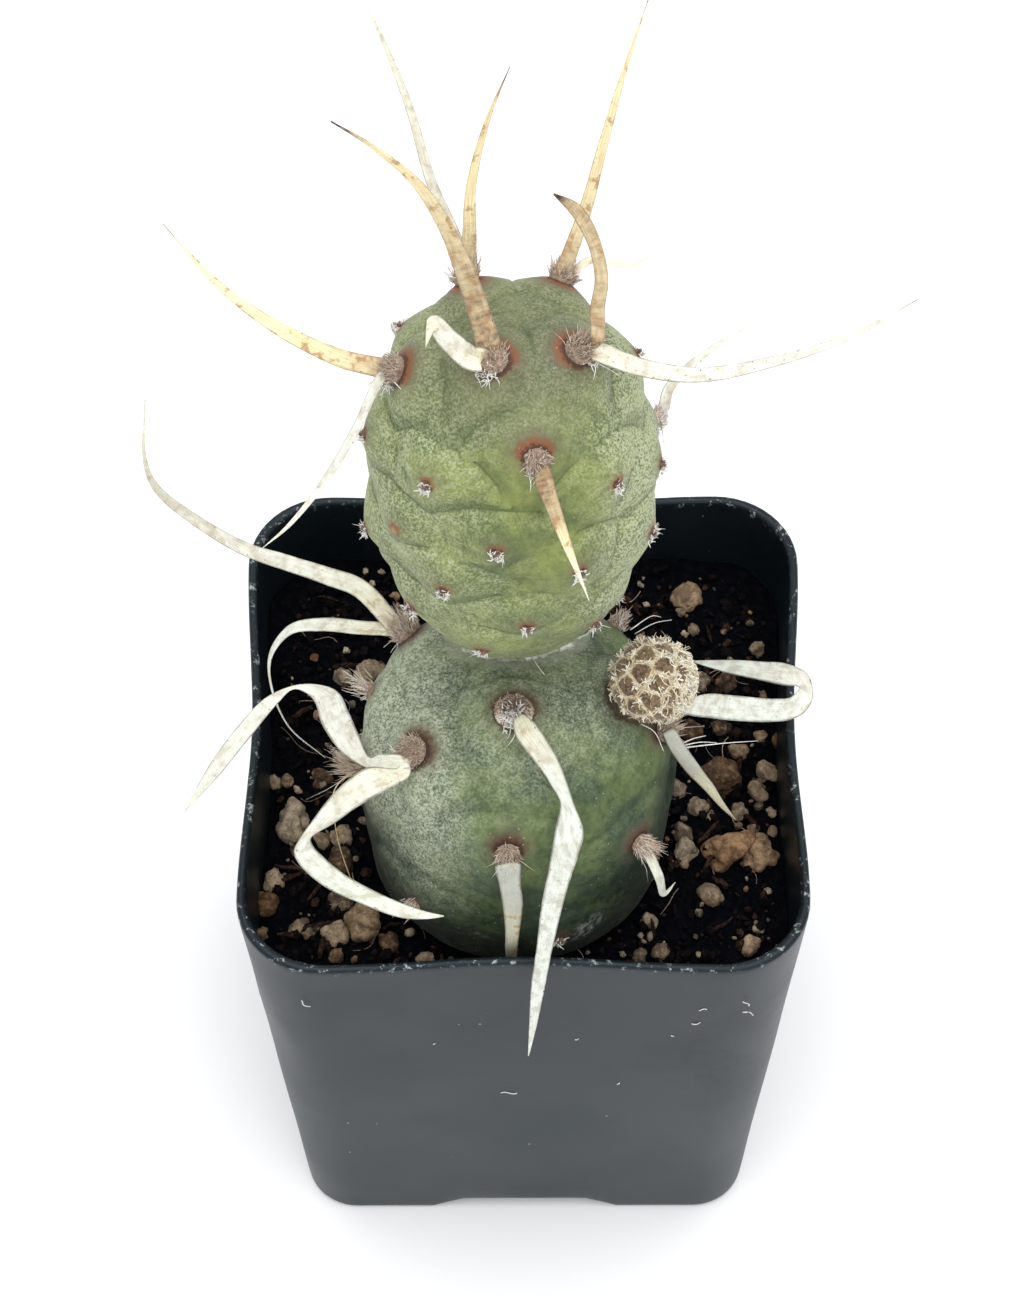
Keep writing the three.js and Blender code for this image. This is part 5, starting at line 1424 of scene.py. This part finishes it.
def make_pumice():
    """Pumice and perlite grains: the listed ones, and small ones at random."""
    random = random_of("grains")
    grains = Shape()

    def add(x, y, lift, tone, dust, radii, *form):
        points, blocks, step = rocks(above_soil(x, y, lift), radii, *form)
        grains.add(points, blocks, tone=np.repeat(tone, step), dust=np.repeat(dust, step))

    for level, seed, listed in ((3, "grain_forms", PUMICE), (4, "boulder_forms", BOULDERS)):
        x, y, size, tone, dust = np.array(listed).T
        add(x, y, 0.35 * size, tone, dust, size * 1.12, seed, level, 0.42, 0.68)
    x, y = on_soil(random, 230, 0.7)
    size = 0.16 + 0.42 * random.random(len(x)) ** 2.2
    tone = random.random(len(x)) ** 1.6
    dust = random.uniform(0.0, 0.8, len(x))
    add(x, y, 0.45 + 0.2 * size, tone, dust, size, "small_grain_forms", 2, 0.4, 0.6)
    grains.build("pumice_grains", "pumice")


def make_fibres():
    """Fine roots and peat fibres that lie on the soil."""
    random = random_of("fibres")
    x, y = on_soil(random, 60, 1.8)
    count = len(x)
    turn = any_turn(random, count)
    ways = np.stack([np.cos(turn), np.sin(turn), random.uniform(-0.05, 0.2, count)], -1)
    paths = curls(above_soil(x, y, 0.6), ways, random.uniform(1, 4.5, count), 0.25, random, 9)
    inner = (RIM_WIDTH + FOOT_WIDTH) / 4 + 1.2
    paths[..., :2] = np.clip(paths[..., :2], -inner, inner)
    fibres = Shape()
    sizes = random.uniform(0.025, 0.055, (count, 1))
    fibres.add_strands(paths, sizes, tint=random.uniform(0.0, 0.4, count))
    fibres.build("soil_fibres", "felt")


# White fibres and specks that cling to the front of the pot: x, height, length, turn
LINT = [
    (21.0, 50.8, 1.0, 115), (21.3, 48.6, 1.2, 150), (16.9, 49.4, 0.8, 10), (16.4, 46.2, 0.9, 15),
    (5.1, 41.5, 0.4, 20), (-8.6, 40.9, 0.3, 60), (-1.5, 28.8, 1.6, 10), (9.2, 31.5, 0.4, 70),
    (-20.6, 50.9, 1.4, 130), (14.2, 43.2, 0.3, 0),
]


def make_lint():
    random = random_of("lint")
    share = np.linspace(-0.5, 0.5, 8)[:, None]
    paths = []
    for x, height, length, turn in LINT:
        half = half_width(height)
        bow = SIDE_BOW * height / POT_HEIGHT * (1 + math.cos(math.pi * x / (half - 7))) / 2
        cos, sin = math.cos(turn * DEG), math.sin(turn * DEG)
        hook = np.array([-sin, 0, cos]) * np.sin(share * 5 + random.random() * 6) * 0.16 * length
        middle = np.array([x, -half + bow - 0.02, height])
        paths.append(middle + np.array([cos, 0, sin]) * share * length + hook)
    lint = Shape()
    lint.add_strands(paths, 0.055, tint=0.95)
    lint.build("pot_lint", "felt")


# Stage, lights and camera


def link_at(thing, right, over, back, place):
    """Put an object into the scene with its own axes and place."""
    thing.matrix_world = Matrix(np.column_stack([right, over, back]).tolist()).to_4x4()
    thing.location = place
    bpy.context.scene.collection.objects.link(thing)


def make_stage():
    mesh = bpy.data.meshes.new("floor")
    reach = 3.0
    corners = [(-reach, -reach, 0), (reach, -reach, 0), (reach, reach, 0), (-reach, reach, 0)]
    mesh.from_pydata(corners, [], [(0, 1, 2, 3)])
    look = Look("floor_white", 0.7, Specular_IOR_Level=0.2)
    look.color = (0.95, 0.95, 0.955)
    mesh.materials.append(look.finish())
    floor = bpy.data.objects.new("floor", mesh)
    bpy.context.scene.collection.objects.link(floor)


def add_light(name, place, aim, size, power):
    light = bpy.data.lights.new(name, "AREA")
    light.shape = "SQUARE"
    light.size = size
    light.energy = power
    back = unit(np.array(place) - np.array(aim))
    link_at(bpy.data.objects.new(name, light), *side_axes(back), back, place)


def make_lights():
    world = bpy.data.worlds.new("studio")
    world.use_nodes = True
    background = world.node_tree.nodes["Background"]
    background.inputs["Color"].default_value = (0.97, 0.985, 1.0, 1)
    background.inputs["Strength"].default_value = 0.8
    bpy.context.scene.world = world
    add_light("top_softbox", place=(0.02, -0.05, 0.85), aim=(0, 0, 0.07), size=1.0, power=7.2)
    add_light("front_softbox", place=(0.15, -0.6, 0.5), aim=(0, 0, 0.07), size=0.4, power=0.8)


def make_camera():
    pitch, yaw, roll = CAMERA_PITCH, CAMERA_YAW, CAMERA_ROLL
    ahead = np.array([math.sin(yaw) * math.cos(pitch), math.cos(yaw) * math.cos(pitch), -math.sin(pitch)])
    right = np.array([math.cos(yaw), -math.sin(yaw), 0])
    over = np.cross(right, ahead)
    level = math.cos(roll) * right + math.sin(roll) * over
    upright = -math.sin(roll) * right + math.cos(roll) * over
    data = bpy.data.cameras.new("camera")
    data.sensor_fit = "VERTICAL"
    data.sensor_height = SENSOR_HEIGHT
    data.lens = FOCAL_PIXELS * SENSOR_HEIGHT / PHOTO_HEIGHT
    data.clip_start = 0.01
    camera = bpy.data.objects.new("camera", data)
    link_at(camera, level, upright, -ahead, [c * MM for c in CAMERA_PLACE])
    bpy.context.scene.camera = camera
    bpy.context.scene.view_settings.view_transform = "Standard"
    bpy.context.scene.view_settings.look = "None"


make_camera()
make_lights()
make_stage()
make_pot()
make_soil()
make_crumbs()
make_pumice()
make_fibres()
upper_spined = [areole_index(cluster) for cluster in UPPER_CLUSTERS.values()]
lower_spined = [areole_index(cluster) for cluster in LOWER_CLUSTERS.values()]
for segment, spined, clusters, rust in (
    (UPPER, upper_spined, UPPER_CLUSTERS, 1), (LOWER, lower_spined, LOWER_CLUSTERS, 0.9),
):
    segment.felt[spined] = [0.88 * cluster.get("felt", 1.4) + 0.1 for cluster in clusters.values()]
    segment.rust[spined] = rust
bud_index = LOWER_NAMES.index("bud")
LOWER.felt[bud_index] = 2.4
LOWER.rust[bud_index] = 0.25
make_lower()
make_upper()
lower_brushes = {LOWER_NAMES.index(name): brush for name, brush in LOWER_BRUSHES.items()}
make_small_areoles(UPPER, [*upper_spined, BARE_AREOLE], {}, [], "upper_wool")
make_small_areoles(
    LOWER, [*lower_spined, bud_index], lower_brushes, LOWER_BRISTLES, "lower_wool",
)
for segment, prefix, clusters in ((UPPER, "upper", UPPER_CLUSTERS), (LOWER, "lower", LOWER_CLUSTERS)):
    for number, (name, cluster) in enumerate(clusters.items()):
        make_cluster(segment, prefix, name, cluster, SEEDS[f"{prefix}_clusters"] + 10 * number)
make_bud()
make_neck()
make_fringe()
make_lint()
